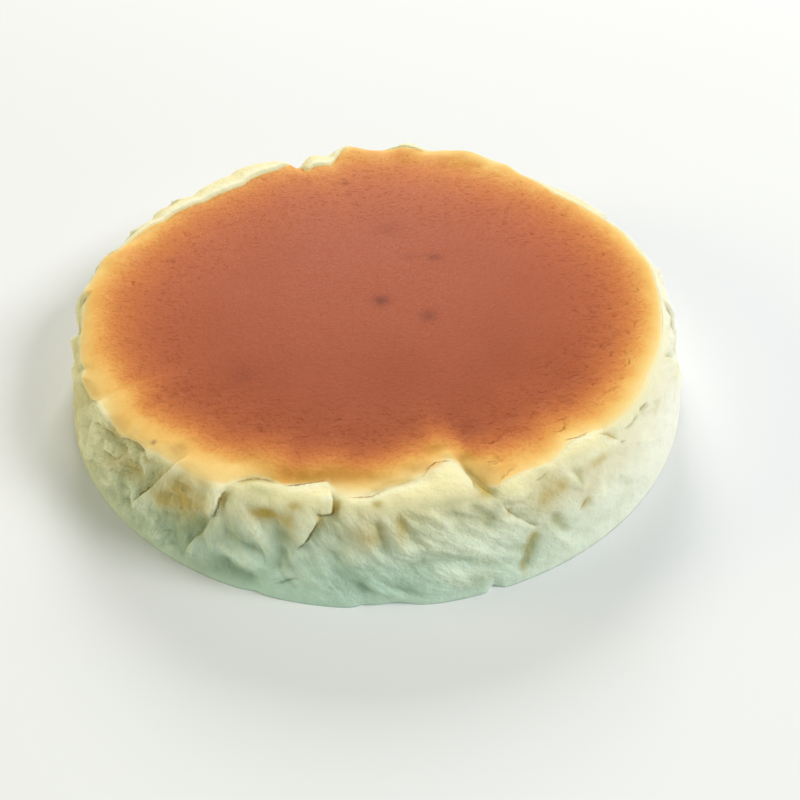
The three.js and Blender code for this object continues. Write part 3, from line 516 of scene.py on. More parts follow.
def beside(path, angle, level):
    """Where points of the chart lie beside a path: their distance to its nearest leg, positive to the
    path's right; a strength of 0 at the path's two ends that rises to 1 over FOLD_END, or over a third
    of a short path; the share of the path's length; and the unit vector that points to the right."""
    origin = path[0][0]
    x = turn(origin, angle) * MM_PER_DEGREE
    y = level * WALL_LENGTH
    corners = np.array([(turn(origin, a) * MM_PER_DEGREE, at * WALL_LENGTH) for a, at in path])
    across = np.full(x.shape, np.inf)
    along = np.zeros(x.shape)
    rightward = np.zeros((2, x.size))
    length = 0.0
    for start, leg in zip(corners[:-1], np.diff(corners, axis=0)):
        size = np.hypot(*leg)
        ahead = leg / size
        right = np.array([ahead[1], -ahead[0]])
        dx, dy = x - start[0], y - start[1]
        share = np.clip(dx * ahead[0] + dy * ahead[1], 0, size)
        distance = np.hypot(dx - share * ahead[0], dy - share * ahead[1])
        side = np.where(dx * right[0] + dy * right[1] < 0, -1.0, 1.0)
        nearer = distance < np.abs(across)
        across = np.where(nearer, side * distance, across)
        along = np.where(nearer, length + share, along)
        rightward = np.where(nearer, right[:, None], rightward)
        length += size
    ramp = min(length / 3, FOLD_END)
    strength = smooth(along, 0, ramp) * smooth(length - along, 0, ramp)
    return across, strength, along / length, rightward


def told(numbers, share):
    """The number at a share of the way through numbers told at even steps."""
    return np.interp(share, np.linspace(0, 1, len(numbers)), numbers)


# A pleat's lap fades over LAP_REACH. Its dark line, painted shadow over the gap's brown, runs along the
# lapping edge, and its painted highlight, a whitish lip, is LIP_WIDTH behind that. LINE_FADE is how far
# from a line its darkness is told, and FAR is what stands for no line. A fold is followed out to
# FOLD_MARGIN times its reach, and a band to BAND_MARGIN times its width.
LAP_REACH = 3.0
LIP_WIDTH = 1.9
LINE_FADE = 1.6
FAR = 9.0
FOLD_MARGIN = 5
BAND_MARGIN = 3


class Chart:
    """The points of the net on the chart, and what the folds do to each: a lift along the surface's
    normal, and a shift over the chart where one sheet laps over the next. Each point also keeps how
    deep the paper's print is, how proud of its surroundings the point stands, how far to one side of
    the nearest dark line it lies, how dark that line is, and whether a lip is there."""

    def __init__(self, angle, distance):
        self.angle = angle
        self.distance = distance
        self.level = distance / WALL_LENGTH
        self.lift, self.proud, self.printed, self.dark, self.lip = np.zeros((5, angle.size))
        self.shift = np.zeros((2, angle.size))
        self.across = np.full(angle.size, FAR)

    def near(self, path, margin):
        """The indices of the points within margin millimetres of the box that a path covers."""
        angles, levels = np.array(path).T
        angles = path[0][0] + turn(path[0][0], angles)
        middle, half = (angles.min() + angles.max()) / 2, (angles.max() - angles.min()) / 2
        beside_it = np.abs(turn(middle, self.angle)) < half + margin / MM_PER_DEGREE
        rise = margin / WALL_LENGTH
        level_with_it = (self.level > levels.min() - rise) & (self.level < levels.max() + rise)
        return np.nonzero(beside_it & level_with_it)[0]

    def pleat(self, fold):
        """Adds a step of left and right heights that fade with distance from the path. The high sheet's
        edge moves over the low one, and the gap is darkest just past that edge."""
        here = self.near(fold.path, FOLD_MARGIN * fold.reach)
        across, strength, share, rightward = beside(fold.path, self.angle[here], self.level[here])
        to_right = smooth(across, -STEP_WIDTH / 2, STEP_WIDTH / 2)
        step = fold.left + (fold.right - fold.left) * to_right
        self.lift[here] += step * np.exp(-np.abs(across) / fold.reach) * strength
        self.proud[here] += step * np.exp(-np.abs(across) / LAP_REACH) * strength
        low_side = 1 if fold.left > fold.right else -1
        on_high = to_right if low_side < 0 else 1 - to_right
        push = fold.lap * on_high * np.exp(-np.abs(across) / LAP_REACH) * strength
        self.shift[:, here] += low_side * push * rightward
        past_edge = across * low_side
        self.line(here, past_edge - fold.lap, told(fold.dark, share) * strength)
        lip = np.exp(-((past_edge + LIP_WIDTH) / LIP_WIDTH) ** 2) * strength
        self.lip[here] = np.maximum(self.lip[here], lip)

    def line(self, here, across, dark):
        """Draws a dark line at the points here, unless another is nearer."""
        nearer = (np.abs(across) < np.abs(self.across[here])) & (dark > 0)
        self.across[here] = np.where(nearer, across, self.across[here])
        faded = dark * np.exp(-(across / LINE_FADE) ** 2)
        self.dark[here] = np.where(nearer, faded, self.dark[here])

    def crease(self, fold):
        """Adds a ridge or valley along a path, which fades with distance from it and comes to a sharp
        fold, rounded over FOLD_TIP."""
        here = self.near(fold.path, FOLD_MARGIN * fold.width + LINE_FADE)
        across, strength, share, _ = beside(fold.path, self.angle[here], self.level[here])
        away = np.hypot(across, FOLD_TIP) - FOLD_TIP
        rise = fold.height * np.exp(-away / fold.width) * strength
        self.lift[here] += rise
        self.proud[here] += rise
        self.line(here, across, told(fold.dark, share) * strength)

    def bands(self, bands):
        """The sum of bands along paths, each bell-shaped across its path."""
        total = np.zeros(self.angle.size)
        for band in bands:
            here = self.near(band.path, BAND_MARGIN * band.width)
            across, strength, share, _ = beside(band.path, self.angle[here], self.level[here])
            total[here] += told(band.strength, share) * strength * np.exp(-(across / band.width) ** 2)
        return total

    def spots(self, mounds):
        """The sum of bells round places of a list."""
        return sum(self.spot(mound) for mound in mounds)

    def spot(self, mound):
        """A bell over an ellipse round a point of the chart, as high as the mound."""
        x = turn(mound.angle, self.angle) / mound.wide
        y = (self.level - mound.level) / mound.tall
        return mound.height * np.exp(-x * x - y * y)

    def edge(self, edges):
        """The sum of bells at the angles of a list."""
        return sum(e.size * np.exp(-(turn(e.at, self.angle) / e.spread) ** 2) for e in edges)


def square_round(x, y, columns, seed):
    """The unit square round each point: a random number from -1 to 1 at its low left, low right, high
    left and high right corner, the same again along x after columns squares, and the point's shares of
    the way across and up the square."""
    table = np.random.default_rng(seed).uniform(-1, 1, (int(y.max()) + 3, columns))
    i, j = np.floor(x).astype(int), np.floor(y).astype(int)
    near, far = i % columns, (i + 1) % columns
    return table[j, near], table[j, far], table[j + 1, near], table[j + 1, far], x - i, y - j


def soft_noise(x, y, columns, seed):
    """Smooth noise from -1 to 1: the corners' numbers, blended by S-shaped weights."""
    a, b, c, d, u, v = square_round(x, y, columns, seed)
    u, v = smooth(u, 0, 1), smooth(v, 0, 1)
    low, high = a * (1 - u) + b * u, c * (1 - u) + d * u
    return low * (1 - v) + high * v


def facets(x, y, columns, seed):
    """Crumpled paper from -1 to 1: each square is split into two triangles with flat faces between the
    corners' numbers, so that sharp folds run along the triangles' sides."""
    a, b, c, d, u, v = square_round(x, y, columns, seed)
    lower = a + u * (b - a) + v * (c - a)
    upper = d + (1 - u) * (c - d) + (1 - v) * (b - d)
    return np.where(u + v < 1, lower, upper)


# The print of the paper: cells in millimetres with their depths and seeds, how much longer they are than
# wide, how much the net of cells is bent, how far the print sinks in, and where it is strong. It comes in
# and goes out between the first two and the last two of PRINT_LEVELS.
PRINT_CELLS = [(14.0, 0.6, 31), (7.0, 0.5, 32), (3.6, 0.34, 33)]
PRINT_LENGTH = 1.35
PRINT_BEND = 0.55
PRINT_SINK = 0.45
PRINT_LEVELS = (0, 0.2, 0.9, 1.15)
STRONG_PRINT = listed(Edge, [(220, 20, 0.8), (272, 16, 0.3), (315, 22, -0.4)])

# The paper's wrinkles stand upright at UPRIGHT_AT and lean by up to PAPER_LEAN for each millimetre of
# height. The finest of them are PAPER_STRETCH times as long as wide.
UPRIGHT_AT = 244.0
LEAN_RATE = 2.0
PAPER_LEAN = 0.9
PAPER_STRETCH = 1.25


def leaning(chart):
    """How far the wrinkles lean to the right: up to PAPER_LEAN on the left of where they stand upright,
    and as far the other way on its right."""
    swing = LEAN_RATE * np.sin(np.radians(chart.angle - UPRIGHT_AT))
    return -PAPER_LEAN * np.clip(swing, -1, 1)


def paper_print(chart):
    """The wrinkles of the baking paper, pressed into the wall: leaning facets of three sizes, each
    looked up at a place that is bent by soft noise."""
    lean = leaning(chart) * PRINT_LENGTH
    depth = np.zeros(chart.angle.size)
    for cell, deep, seed in PRINT_CELLS:
        columns = round(360 * MM_PER_DEGREE / cell)
        y = chart.distance / (PRINT_LENGTH * cell) + 1
        x = chart.angle / 360 * columns - lean * (y - 1)
        bend_x, bend_y = (PRINT_BEND * soft_noise(x, y, columns, seed + n) for n in (10, 20))
        depth += deep * facets(x + bend_x, y + bend_y, columns, seed)
    return depth * print_fade(chart) * (1 + chart.edge(STRONG_PRINT))


def print_fade(chart):
    """1 on the wall, and 0 at the foot and over the rim."""
    return within(chart.level, *PRINT_LEVELS)


# The top's soft unevenness and, in its ring, its fine grain: cell and height in millimetres, and seed.
# The net that they are drawn from reaches TOP_MARGIN past the rim.
TOP_WAVES = (24.0, 0.45, 51)
TOP_GRAIN = (2.6, 0.13, 52)
WAVE_LEVELS = (1.05, 1.5)
GRAIN_LEVELS = (1.1, 1.3, 1.6, 1.75)
TOP_MARGIN = 12.0


def top_relief(chart, radius):
    """Low waves over the whole top, and grain where the net is fine enough to hold it."""
    turned = np.radians(chart.angle)
    x = radius * np.cos(turned) + RIM_RADIUS + TOP_MARGIN
    y = radius * np.sin(turned) + RIM_RADIUS + TOP_MARGIN
    on_top = smooth(chart.level, *WAVE_LEVELS)
    in_ring = within(chart.level, *GRAIN_LEVELS)
    relief = np.zeros(chart.angle.size)
    for (cell, height, seed), where in ((TOP_WAVES, on_top), (TOP_GRAIN, in_ring)):
        columns = int((x.max() + cell) / cell) + 3
        relief += height * where * soft_noise(x / cell, y / cell, columns, seed)
    return relief


def paper_place(chart):
    """The place on the paper: the wall rolled on a cylinder and twisted, so that a leaning line of the
    wall is upright on the paper, and shortened along it."""
    twist = -leaning(chart) * chart.distance / MM_PER_DEGREE
    turned = np.radians(chart.angle + twist)
    radius = np.degrees(MM_PER_DEGREE)
    places = [radius * np.cos(turned), radius * np.sin(turned), chart.distance / PAPER_STRETCH]
    return np.stack(places, 1) * MM


def ring_angles():
    """The angles of a full ring's points. They go round evenly, less a sine that crowds them together
    at the front by a share of CROWDING."""
    share = np.arange(SEGMENTS) / SEGMENTS
    swing = np.sin(2 * np.pi * (share - CROWDED_AT / 360))
    return 360 * share - np.degrees(CROWDING) * swing


def ring_plan():
    """Distances from the foot and numbers of points of all rings, from the foot inwards: close and full
    up the wall and over the lips, then wider apart with half as many points, and half again."""
    edge = np.arange(0, WALL_LENGTH + EDGE_REACH, EDGE_SPACING)
    middle = WALL_LENGTH + RIM_RADIUS
    top = np.arange(edge[-1] + TOP_SPACING, middle - TOP_SPACING / 2, TOP_SPACING)
    halvings = [max(n for limit, n in TOP_HALVINGS if middle - d < limit) for d in top]
    return [(d, SEGMENTS) for d in edge] + [(d, SEGMENTS // 2 ** n) for d, n in zip(top, halvings)]


def band_faces(outer, inner):
    """Faces between a ring and the next one inwards: four-sided where both have as many points, and
    else three triangles to each inner point, joined to the outer points round it."""
    (outer_first, outer_count), (inner_first, inner_count) = outer, inner
    i = np.arange(inner_count)
    near, near_next = inner_first + i, inner_first + (i + 1) % inner_count
    ratio = outer_count // inner_count
    far = [outer_first + (i * ratio + k) % outer_count for k in range(ratio + 1)]
    if ratio == 1:
        return np.stack([far[0], far[1], near_next, near], 1).tolist()
    triangles = [(far[0], far[1], near), (far[1], near_next, near), (far[1], far[2], near_next)]
    return np.concatenate([np.stack(corners, 1) for corners in triangles]).tolist()


def fan_faces(ring, middle):
    """Triangles between a ring and one point in its middle."""
    first, count = ring
    i = np.arange(count)
    return np.stack([first + i, first + (i + 1) % count, np.full(count, middle)], 1).tolist()


def charted_points():
    """The chart of all rings and of the top's middle, and each ring's first point and count."""
    full = ring_angles()
    angles, distances, rings = [], [], []
    first = 0
    for distance, count in ring_plan():
        angles.append(full[:: SEGMENTS // count])
        distances.append(np.full(count, distance))
        rings.append((first, count))
        first += count
    angles.append([0.0])
    distances.append([WALL_LENGTH + RIM_RADIUS])
    return Chart(np.concatenate(angles), np.concatenate(distances)), rings


def fold(chart):
    """Lays all folds, cracks and mounds and the paper's print on the chart."""
    pleats, creases, mounds = drawn_folds()
    for pleat in PLEATS + pleats:
        chart.pleat(pleat)
    for crease in CREASES + creases + FINE_CREASES + drawn_cracks():
        chart.crease(crease)
    chart.lift += chart.spots(MOUNDS + mounds)
    chart.printed = paper_print(chart)


# Folds and bulges are full outside the larger radius of NEAR_EDGE and gone inside the smaller one. Where
# the rim bulges it also rises, between the BULGE_LEVELS.
NEAR_EDGE = (0.45 * RIM_RADIUS, 0.8 * RIM_RADIUS)
BULGE_LEVELS = (0.5, 0.95, 1.12, 1.55)


def surface(chart):
    """The cake's points: the smooth profile at the shifted place on the chart, moved along its normal
    by the lift, and in or out and up or down where the rim bulges and the foot is nicked."""
    angle = np.radians(chart.angle + chart.shift[0] / MM_PER_DEGREE)
    distance = np.maximum(chart.distance + chart.shift[1], 0)
    radius, height, out, up = profile(distance)
    near_edge = smooth(radius, *NEAR_EDGE)
    near_rim = within(chart.level, *BULGE_LEVELS)
    printed = chart.printed - PRINT_SINK * print_fade(chart)
    lift = (chart.lift + printed) * near_edge + top_relief(chart, radius)
    bulge = chart.edge(RIM_BULGES)
    nick = chart.edge(FOOT_NICKS) * np.exp(-chart.distance / NICK_HEIGHT)
    r = radius + out * lift + bulge * near_edge + nick
    z = height + (up * lift + bulge * near_rim) * smooth(chart.distance, 0, FLAT_FOOT)
    return np.stack([r * np.cos(angle), r * np.sin(angle), z], 1)


# The baked colour changes over the millimetres from BAKE_LOW to BAKE_HIGH. It changes faster at the
# front, by BAKE_SLANT, and more slowly at the back: partly uneven baking, and partly painted shade that
# makes the front darker. A jump lies within BAKE_EDGE of its place. The top is also painted darker and
# browner towards the front, as painted shade, along the angle and from the distance in millimetres given
# next.
BAKE_LOW, BAKE_HIGH = -9.0, 60.0
BAKE_SLANT = 0.35
BAKE_EDGE = 0.7
BAKE_LAG_REACH = 14.0
FRONT_SHADE_AT = 276.0
FRONT_SHADE_FROM = -36.0


def baked(chart):
    """How far the skin is baked, as millimetres of the scale: the distance inwards from the place of
    the list at each angle, times a rate that swings round the cake, with the list's jump added just
    inside that place and twice as much taken off just outside it, and the list's lag taken off further
    in."""
    angles, levels, jumps, lags = np.array(BAKES).T
    around = chart.angle % 360
    start, jump, lag = (np.interp(around, angles, column, period=360) for column in (levels, jumps, lags))
    inwards = (chart.distance - start * WALL_LENGTH) * (1 - BAKE_SLANT * np.sin(np.radians(around)))
    held = lag * smooth(inwards, 0, BAKE_LAG_REACH)
    skipped = jump * (3 * smooth(inwards, -BAKE_EDGE, BAKE_EDGE) - 2)
    return np.clip(inwards + skipped - held, BAKE_LOW, BAKE_HIGH)


def front_shade(points):
    """How strongly painted shade darkens and browns the top towards the front: an S-shaped rise along the
    direction of the angle set above, from 0 at the distance set above to 1 at the rim."""
    towards = np.radians(FRONT_SHADE_AT)
    return smooth(points[:, :2] @ [np.cos(towards), np.sin(towards)], FRONT_SHADE_FROM, RIM_RADIUS)


def smudged(points):
    """The dark smudges of the top: bells round their places, the highest of them at each point."""
    dark = np.zeros(len(points))
    for smudge in SMUDGES:
        apart = np.hypot(points[:, 0] - smudge.x, points[:, 1] - smudge.y) / smudge.size
        dark = np.maximum(dark, smudge.strength * np.exp(-apart ** 2))
    return dark


def finish_numbers(chart, points):
    """What the finish needs to know of each point, by name. The shares are kept from 0 to 1."""
    shares = {
        "cool_shade": chart.spot(COOL_SHADE_FOOT),
        "warm": chart.spot(WARM_SIDE),
        "white": chart.spot(WHITE_SIDE),
        "deep_gold": chart.spots(DEEP_GOLD_PATCHES),
        "shaded": chart.spots(SHADES) + chart.bands(SHADE_BANDS),
        "cream_and_highlight": chart.spots(CREAMS_AND_HIGHLIGHTS) + chart.bands(CREAM_AND_HIGHLIGHT_BANDS),
        "stain_and_shade": chart.spots(STAINS + drawn_stains()) + chart.bands(STAIN_AND_SHADE_BANDS),
    }
    return {
        "baked": baked(chart),
        "level": chart.level,
        "front_shade": front_shade(points),
        "proud": chart.proud + chart.printed,
        "across": chart.across,
        "dark": chart.dark,
        "lip": chart.lip,
        "crumple": np.clip((1 + chart.edge(STRONG_PRINT)) / 2, 0, 1) ** 2 * print_fade(chart),
        "smudged": smudged(points),
        **{name: np.clip(share, 0, 1) for name, share in shares.items()},
    }


def placed(name, data):
    """A new object of the scene, made of its data."""
    made = bpy.data.objects.new(name, data)
    bpy.context.scene.collection.objects.link(made)
    return made


def make_cake():
    """The cake's mesh, closed by a fan of triangles in the top's middle and one over the flat foot, with
    what its finish needs as numbers on its points."""
    chart, rings = charted_points()
    fold(chart)
    points = surface(chart)
    numbers = finish_numbers(chart, points)
    top_middle, foot_middle = len(points) - 1, len(points)
    points = np.vstack([points, [[0, 0, 0]]])
    faces = [face for outer, inner in zip(rings, rings[1:]) for face in band_faces(outer, inner)]
    faces += fan_faces(rings[-1], top_middle)
    wall_and_top = len(faces)
    faces += [face[::-1] for face in fan_faces(rings[0], foot_middle)]
    mesh = bpy.data.meshes.new("whole_cheesecake")
    mesh.from_pydata((points * MM).tolist(), [], faces)
    mesh.polygons.foreach_set("use_smooth", np.arange(len(faces)) < wall_and_top)
    for name, values in numbers.items():
        attribute = mesh.attributes.new(name, "FLOAT", "POINT")
        attribute.data.foreach_set("value", np.append(values, 0))
    paper = mesh.attributes.new("paper", "FLOAT_VECTOR", "POINT")
    paper.data.foreach_set("vector", np.vstack([paper_place(chart), [[0, 0, 0]]]).ravel())
    return placed("whole_cheesecake", mesh)


def linear(red, green, blue):
    """A colour given as it is seen, from 0 to 255, as the linear numbers that shaders take: each share
    of full light over 12.92 where it is small, and else a power of 2.4."""
    seen = np.array([red, green, blue]) / 255
    return (*np.where(seen <= 0.04045, seen / 12.92, ((seen + 0.055) / 1.055) ** 2.4).tolist(), 1.0)


class Finish:
    """A material and short calls that add nodes to it. A value is a number, a colour or the output of a
    node, and each call gives the new node's output."""

    def __init__(self, name):
        self.material = bpy.data.materials.new(name)
        self.material.use_nodes = True
        self.tree = self.material.node_tree
        self.tree.nodes.clear()

    def add(self, kind, inputs, **settings):
        """A node with its settings, and its inputs set or linked."""
        node = self.tree.nodes.new(kind)
        for name, value in settings.items():
            setattr(node, name, value)
        for socket, value in inputs.items():
            if isinstance(value, bpy.types.NodeSocket):
                self.tree.links.new(value, node.inputs[socket])
            else:
                node.inputs[socket].default_value = value
        return node

    def number(self, name):
        """A number of the mesh's points."""
        return self.add("ShaderNodeAttribute", {}, attribute_name=name).outputs["Fac"]

    def vector(self, name):
        """A place told by the mesh's points."""
        return self.add("ShaderNodeAttribute", {}, attribute_name=name).outputs["Vector"]

    def place(self):
        """The place on the object."""
        return self.add("ShaderNodeTexCoord", {}).outputs["Object"]

    def noise(self, place, size, detail=2.0, roughness=0.5, stretch=(1, 1, 1)):
        """Noise from 0 to 1 with grains of size millimetres, stretched along the three axes."""
        scale = [1 / s for s in stretch]
        mapped = self.add("ShaderNodeMapping", {"Vector": place, "Scale": scale}).outputs["Vector"]
        inputs = {"Vector": mapped, "Scale": 1 / (size * MM), "Detail": detail, "Roughness": roughness}
        return self.add("ShaderNodeTexNoise", inputs).outputs["Fac"]

    def calculate(self, operation, a, b=0.0):
        """A sum, product or other step of arithmetic."""
        return self.add("ShaderNodeMath", {0: a, 1: b}, operation=operation).outputs[0]

    def times(self, a, b):
        """The product of two values."""
        return self.calculate("MULTIPLY", a, b)

    def swing(self, share):
        """A share from 0 to 1 as a swing to either side of 0."""
        return self.calculate("SUBTRACT", share, 0.5)

    def between(self, value, low, high, at_low=0.0, at_high=1.0):
        """at_low up to low, at_high from high on, and a smooth change between them."""
        inputs = {"Value": value, "From Min": low, "From Max": high, "To Min": at_low, "To Max": at_high}
        return self.add("ShaderNodeMapRange", inputs, interpolation_type="SMOOTHSTEP").outputs["Result"]

    def steady(self, value, low, high):
        """0 at low, 1 at high, and an even change between them."""
        inputs = {"Value": value, "From Min": low, "From Max": high}
        return self.add("ShaderNodeMapRange", inputs).outputs["Result"]

    def mix(self, share, a, b):
        """Colour a, with a share from 0 to 1 of it replaced by colour b."""
        return self.add("ShaderNodeMix", {0: share, 6: a, 7: b}, data_type="RGBA").outputs[2]

    def layered(self, colour, layers):
        """A colour with others laid over it in turn, each given as its share and itself."""
        for share, over in layers:
            colour = self.mix(share, colour, over)
        return colour

    def ramp(self, share, stops):
        """Colours along a share from 0 to 1, given as (place, colour)."""
        node = self.add("ShaderNodeValToRGB", {"Fac": share})
        elements = node.color_ramp.elements
        while len(elements) < len(stops):
            elements.new(0.5)
        for element, (place, colour) in zip(elements, stops):
            element.position = place
            element.color = colour
        return node.outputs["Color"]

    def bump(self, height, distance, normal=None):
        """The normal bent by a height from 0 to 1 that stands for distance millimetres."""
        inputs = {"Height": height, "Distance": distance * MM, "Strength": 1.0}
        if normal is not None:
            inputs["Normal"] = normal
        return self.add("ShaderNodeBump", inputs).outputs["Normal"]

    def finished(self, inputs):
        """The material, ended by a shader with these inputs."""
        shader = self.add("ShaderNodeBsdfPrincipled", inputs)
        self.add("ShaderNodeOutputMaterial", {"Surface": shader.outputs["BSDF"]})
        return self.material


# Colours, as seen in plain white light. The cool, valley, ridge, white and front-brown ones paint light
# and shade into the surface; the warm, rim, cream, hollow and crack ones are partly the cake's own colour
# and partly painted light and shade.
WALL_LOW = linear(228, 230, 210)
WALL_HIGH = linear(230, 222, 186)
WALL_RIM = linear(244, 231, 180)
COOL_SHADE = linear(200, 225, 205)
WARM = linear(212, 199, 142)
WHITE = linear(249, 246, 232)
VALLEY_SHADE = linear(182, 176, 126)
COOL_VALLEY_SHADE = linear(150, 174, 150)
RIDGE_HIGHLIGHT = linear(246, 243, 214)
COOL_RIDGE_HIGHLIGHT = linear(224, 240, 218)
WARM_RIDGE_HIGHLIGHT = linear(236, 227, 180)
CREAM = linear(246, 236, 182)
COOL_SHADE_CREAM = linear(238, 248, 226)
STAIN = linear(190, 164, 86)
CRACK = linear(142, 108, 44)
COOL_SHADE_CRACK = linear(108, 120, 88)
GOLD_CRACK = linear(150, 98, 40)
BROWN_CRACK = linear(140, 64, 38)
PIT = linear(160, 86, 50)
HOLLOW = linear(206, 168, 84)
DEEP_GOLD = linear(178, 122, 44)
SMUDGE = linear(92, 42, 36)
FRONT_SHADE_BROWN = linear(148, 71, 40)
FLOOR = linear(233, 232, 234)

# The skin's colours by how many millimetres in from the pale wall they come
SKIN = [
    (-8, (239, 234, 202)),
    (-4, (242, 232, 188)),
    (0, (246, 226, 174)),
    (3, (245, 212, 142)),
    (6, (240, 191, 110)),
    (9, (231, 166, 88)),
    (12, (221, 147, 77)),
    (16, (210, 128, 68)),
    (22, (199, 114, 65)),
    (31, (187, 102, 65)),
    (44, (179, 95, 64)),
    (58, (174, 91, 62)),
]


def skin_stops():
    """The skin's colours with their places on a scale from 0 to 1."""
    return [((at - BAKE_LOW) / (BAKE_HIGH - BAKE_LOW), linear(*colour)) for at, colour in SKIN]


def cake_finish():
    """Cheesecake: a pale, matt, porous wall with tan stains, painted olive shade in its valleys and
    painted highlights on its ridges, and a satin skin that turns from cream through gold to brown,
    mottled, grained, pitted and cracked, with painted shade towards the front."""
    f = Finish("baked_cheesecake")
    place = f.place()
    level, proud, bake = f.number("level"), f.number("proud"), f.number("baked")
    cool_shade, warm, crumple = f.number("cool_shade"), f.number("warm"), f.number("crumple")

    broad = f.noise(place, 26, detail=3)
    patchy = f.noise(place, 7, detail=4)
    crumpled = f.noise(place, 4, detail=4, roughness=0.6)
    wrinkled = f.noise(place, 1.5)
    porous = f.noise(place, 0.9)
    pocked = f.noise(place, 1.6, detail=3, roughness=0.6, stretch=(1.8, 1, 1))
    folded = f.calculate("ABSOLUTE", f.swing(f.noise(f.vector("paper"), 3.8, detail=3, roughness=0.55)))

    # Gaps and cracks are ragged at their sides, and their width changes along them
    gap_width = f.between(f.noise(place, 2.2), 0.3, 0.7, 0.25, 0.9)
    ragged = f.times(f.swing(wrinkled), 1.4)
    apart = f.calculate("ABSOLUTE", f.calculate("ADD", f.number("across"), ragged))
    gap = f.times(f.between(apart, f.times(gap_width, 0.2), gap_width, 1.0, 0.0), f.number("dark"))

    valley_shade = f.mix(cool_shade, VALLEY_SHADE, COOL_VALLEY_SHADE)
    ridge_highlight = f.mix(cool_shade, f.mix(warm, RIDGE_HIGHLIGHT, WARM_RIDGE_HIGHLIGHT), COOL_RIDGE_HIGHLIGHT)
    shaded = f.times(f.number("shaded"), f.between(patchy, 0.25, 0.6, 0.7, 1.0))
    stain_and_shade = f.times(f.number("stain_and_shade"), f.between(patchy, 0.25, 0.65, 0.55, 1.0))
    wall = f.layered(f.mix(f.between(level, 0.1, 0.9), WALL_LOW, WALL_HIGH), [
        # The left side's yellower tone, darker with painted shade, and the low front's painted cool shade
        (warm, WARM),
        (cool_shade, COOL_SHADE),
        # Dull patches at random, in the valley shade's colour
        (f.between(patchy, 0.4, 0.75, 0.0, 0.25), valley_shade),
        # Yellower and brighter near the rim: partly its own half-baked cream, partly painted light
        (f.between(level, 0.86, 1.16, 0.0, 0.85), WALL_RIM),
        # Painted light: whiter on the right side, where the key lamp falls
        (f.times(f.number("white"), 0.85), WHITE),
        # Cream lobes, partly their own colour and partly painted highlight
        (f.number("cream_and_highlight"), f.mix(cool_shade, CREAM, COOL_SHADE_CREAM)),
        # Painted shade in the hollows and painted highlight on the ridges, by how proud each point stands
        (f.between(proud, -1.3, 0.0, 0.75, 0.0), valley_shade),
        (f.between(proud, 0.05, 1.1, 0.0, 0.75), ridge_highlight),
        # Painted shade along the folds of the paper's print
        (f.times(f.between(folded, 0.0, 0.05, 0.5, 0.0), crumple), valley_shade),
        # Painted highlight on the pleats' lips
        (f.times(f.number("lip"), 0.35), ridge_highlight),
        # Painted shade in patches and bands, then tan stains, some of which are painted shade too
        (shaded, valley_shade),
        (stain_and_shade, STAIN),
        # The gaps and cracks: their brown, with painted shadow in them
        (gap, f.mix(cool_shade, CRACK, COOL_SHADE_CRACK)),
    ])

    # The skin's colour comes from how far it is baked, which sways in patches and is specked with grain
    grained = f.times(f.between(bake, 4, 14), f.between(bake, 20, 60, 1.0, 0.5))
    sway = f.times(f.swing(patchy), f.between(bake, 0, 10, 2, 6))
    speck = f.times(f.times(f.swing(wrinkled), grained), 16)
    reached = f.calculate("ADD", bake, f.calculate("ADD", sway, speck))
    front_shaded = f.times(f.between(bake, 10, 34), f.number("front_shade"))
    rough_ring = f.times(f.between(bake, 10, 20), f.between(bake, 30, 58, 1.0, 0.3))
    pitted = f.times(f.between(pocked, 0.3, 0.44, 0.5, 0.0), rough_ring)
    skin = f.layered(f.ramp(f.steady(reached, BAKE_LOW, BAKE_HIGH), skin_stops()), [
        # Painted shade: the top darker and browner towards the front, mottled
        (f.times(f.between(broad, 0.3, 0.7, 0.5, 0.8), front_shaded), FRONT_SHADE_BROWN),
        (f.times(f.number("deep_gold"), f.between(patchy, 0.3, 0.6, 0.7, 1.0)), DEEP_GOLD),
        # Painted shade in the skin's hollows, then the painted shade and stains where they reach the skin
        (f.between(proud, -2.6, -1.1, 0.6, 0.0), HOLLOW),
        (f.times(f.calculate("MAXIMUM", shaded, stain_and_shade), 0.7), HOLLOW),
        (f.times(f.between(wrinkled, 0.3, 0.45, 0.35, 0.0), grained), PIT),
        (f.times(pitted, 0.3), BROWN_CRACK),
        (f.times(f.number("smudged"), 0.6), SMUDGE),
        # The skin's cracks and gaps: their brown, with painted shadow in them
        (gap, f.mix(f.between(bake, 8, 20), GOLD_CRACK, BROWN_CRACK)),
    ])

    on_skin = f.between(bake, -8, 0)
    on_wall = f.calculate("SUBTRACT", 1.0, on_skin)
    soft = f.bump(f.times(crumpled, f.between(on_wall, 0.0, 1.0, 0.1, 1.0)), 0.85)
    creased = f.bump(f.times(f.times(folded, crumple), on_wall), 2.2, soft)
    grain = f.bump(f.calculate("SUBTRACT", f.times(wrinkled, grained), pitted), 0.4, creased)
    return f.finished({
        "Base Color": f.mix(on_skin, wall, skin),
        "Roughness": f.between(porous, 0.3, 0.7, 0.45, 0.6),
        "Normal": f.bump(porous, 0.1, grain),
        "IOR": 1.4, "Specular IOR Level": 0.08,
        "Subsurface Weight": 0.2, "Subsurface Radius": (1.0, 0.55, 0.3), "Subsurface Scale": 2.5 * MM,
    })


def plain_finish(name, colour):
    """A matt finish of one colour, for the floor."""
    return Finish(name).finished({"Base Color": colour, "Roughness": 0.9})


# The floor reaches this far from the cake, in metres
FLOOR_REACH = 4.0


def make_floor():
    """A plain flat square at the height of the cake's foot."""
    sides = [(-1, -1), (1, -1), (1, 1), (-1, 1)]
    mesh = bpy.data.meshes.new("floor")
    mesh.from_pydata([(x * FLOOR_REACH, y * FLOOR_REACH, 0) for x, y in sides], [], [(0, 1, 2, 3)])
    return placed("floor", mesh)


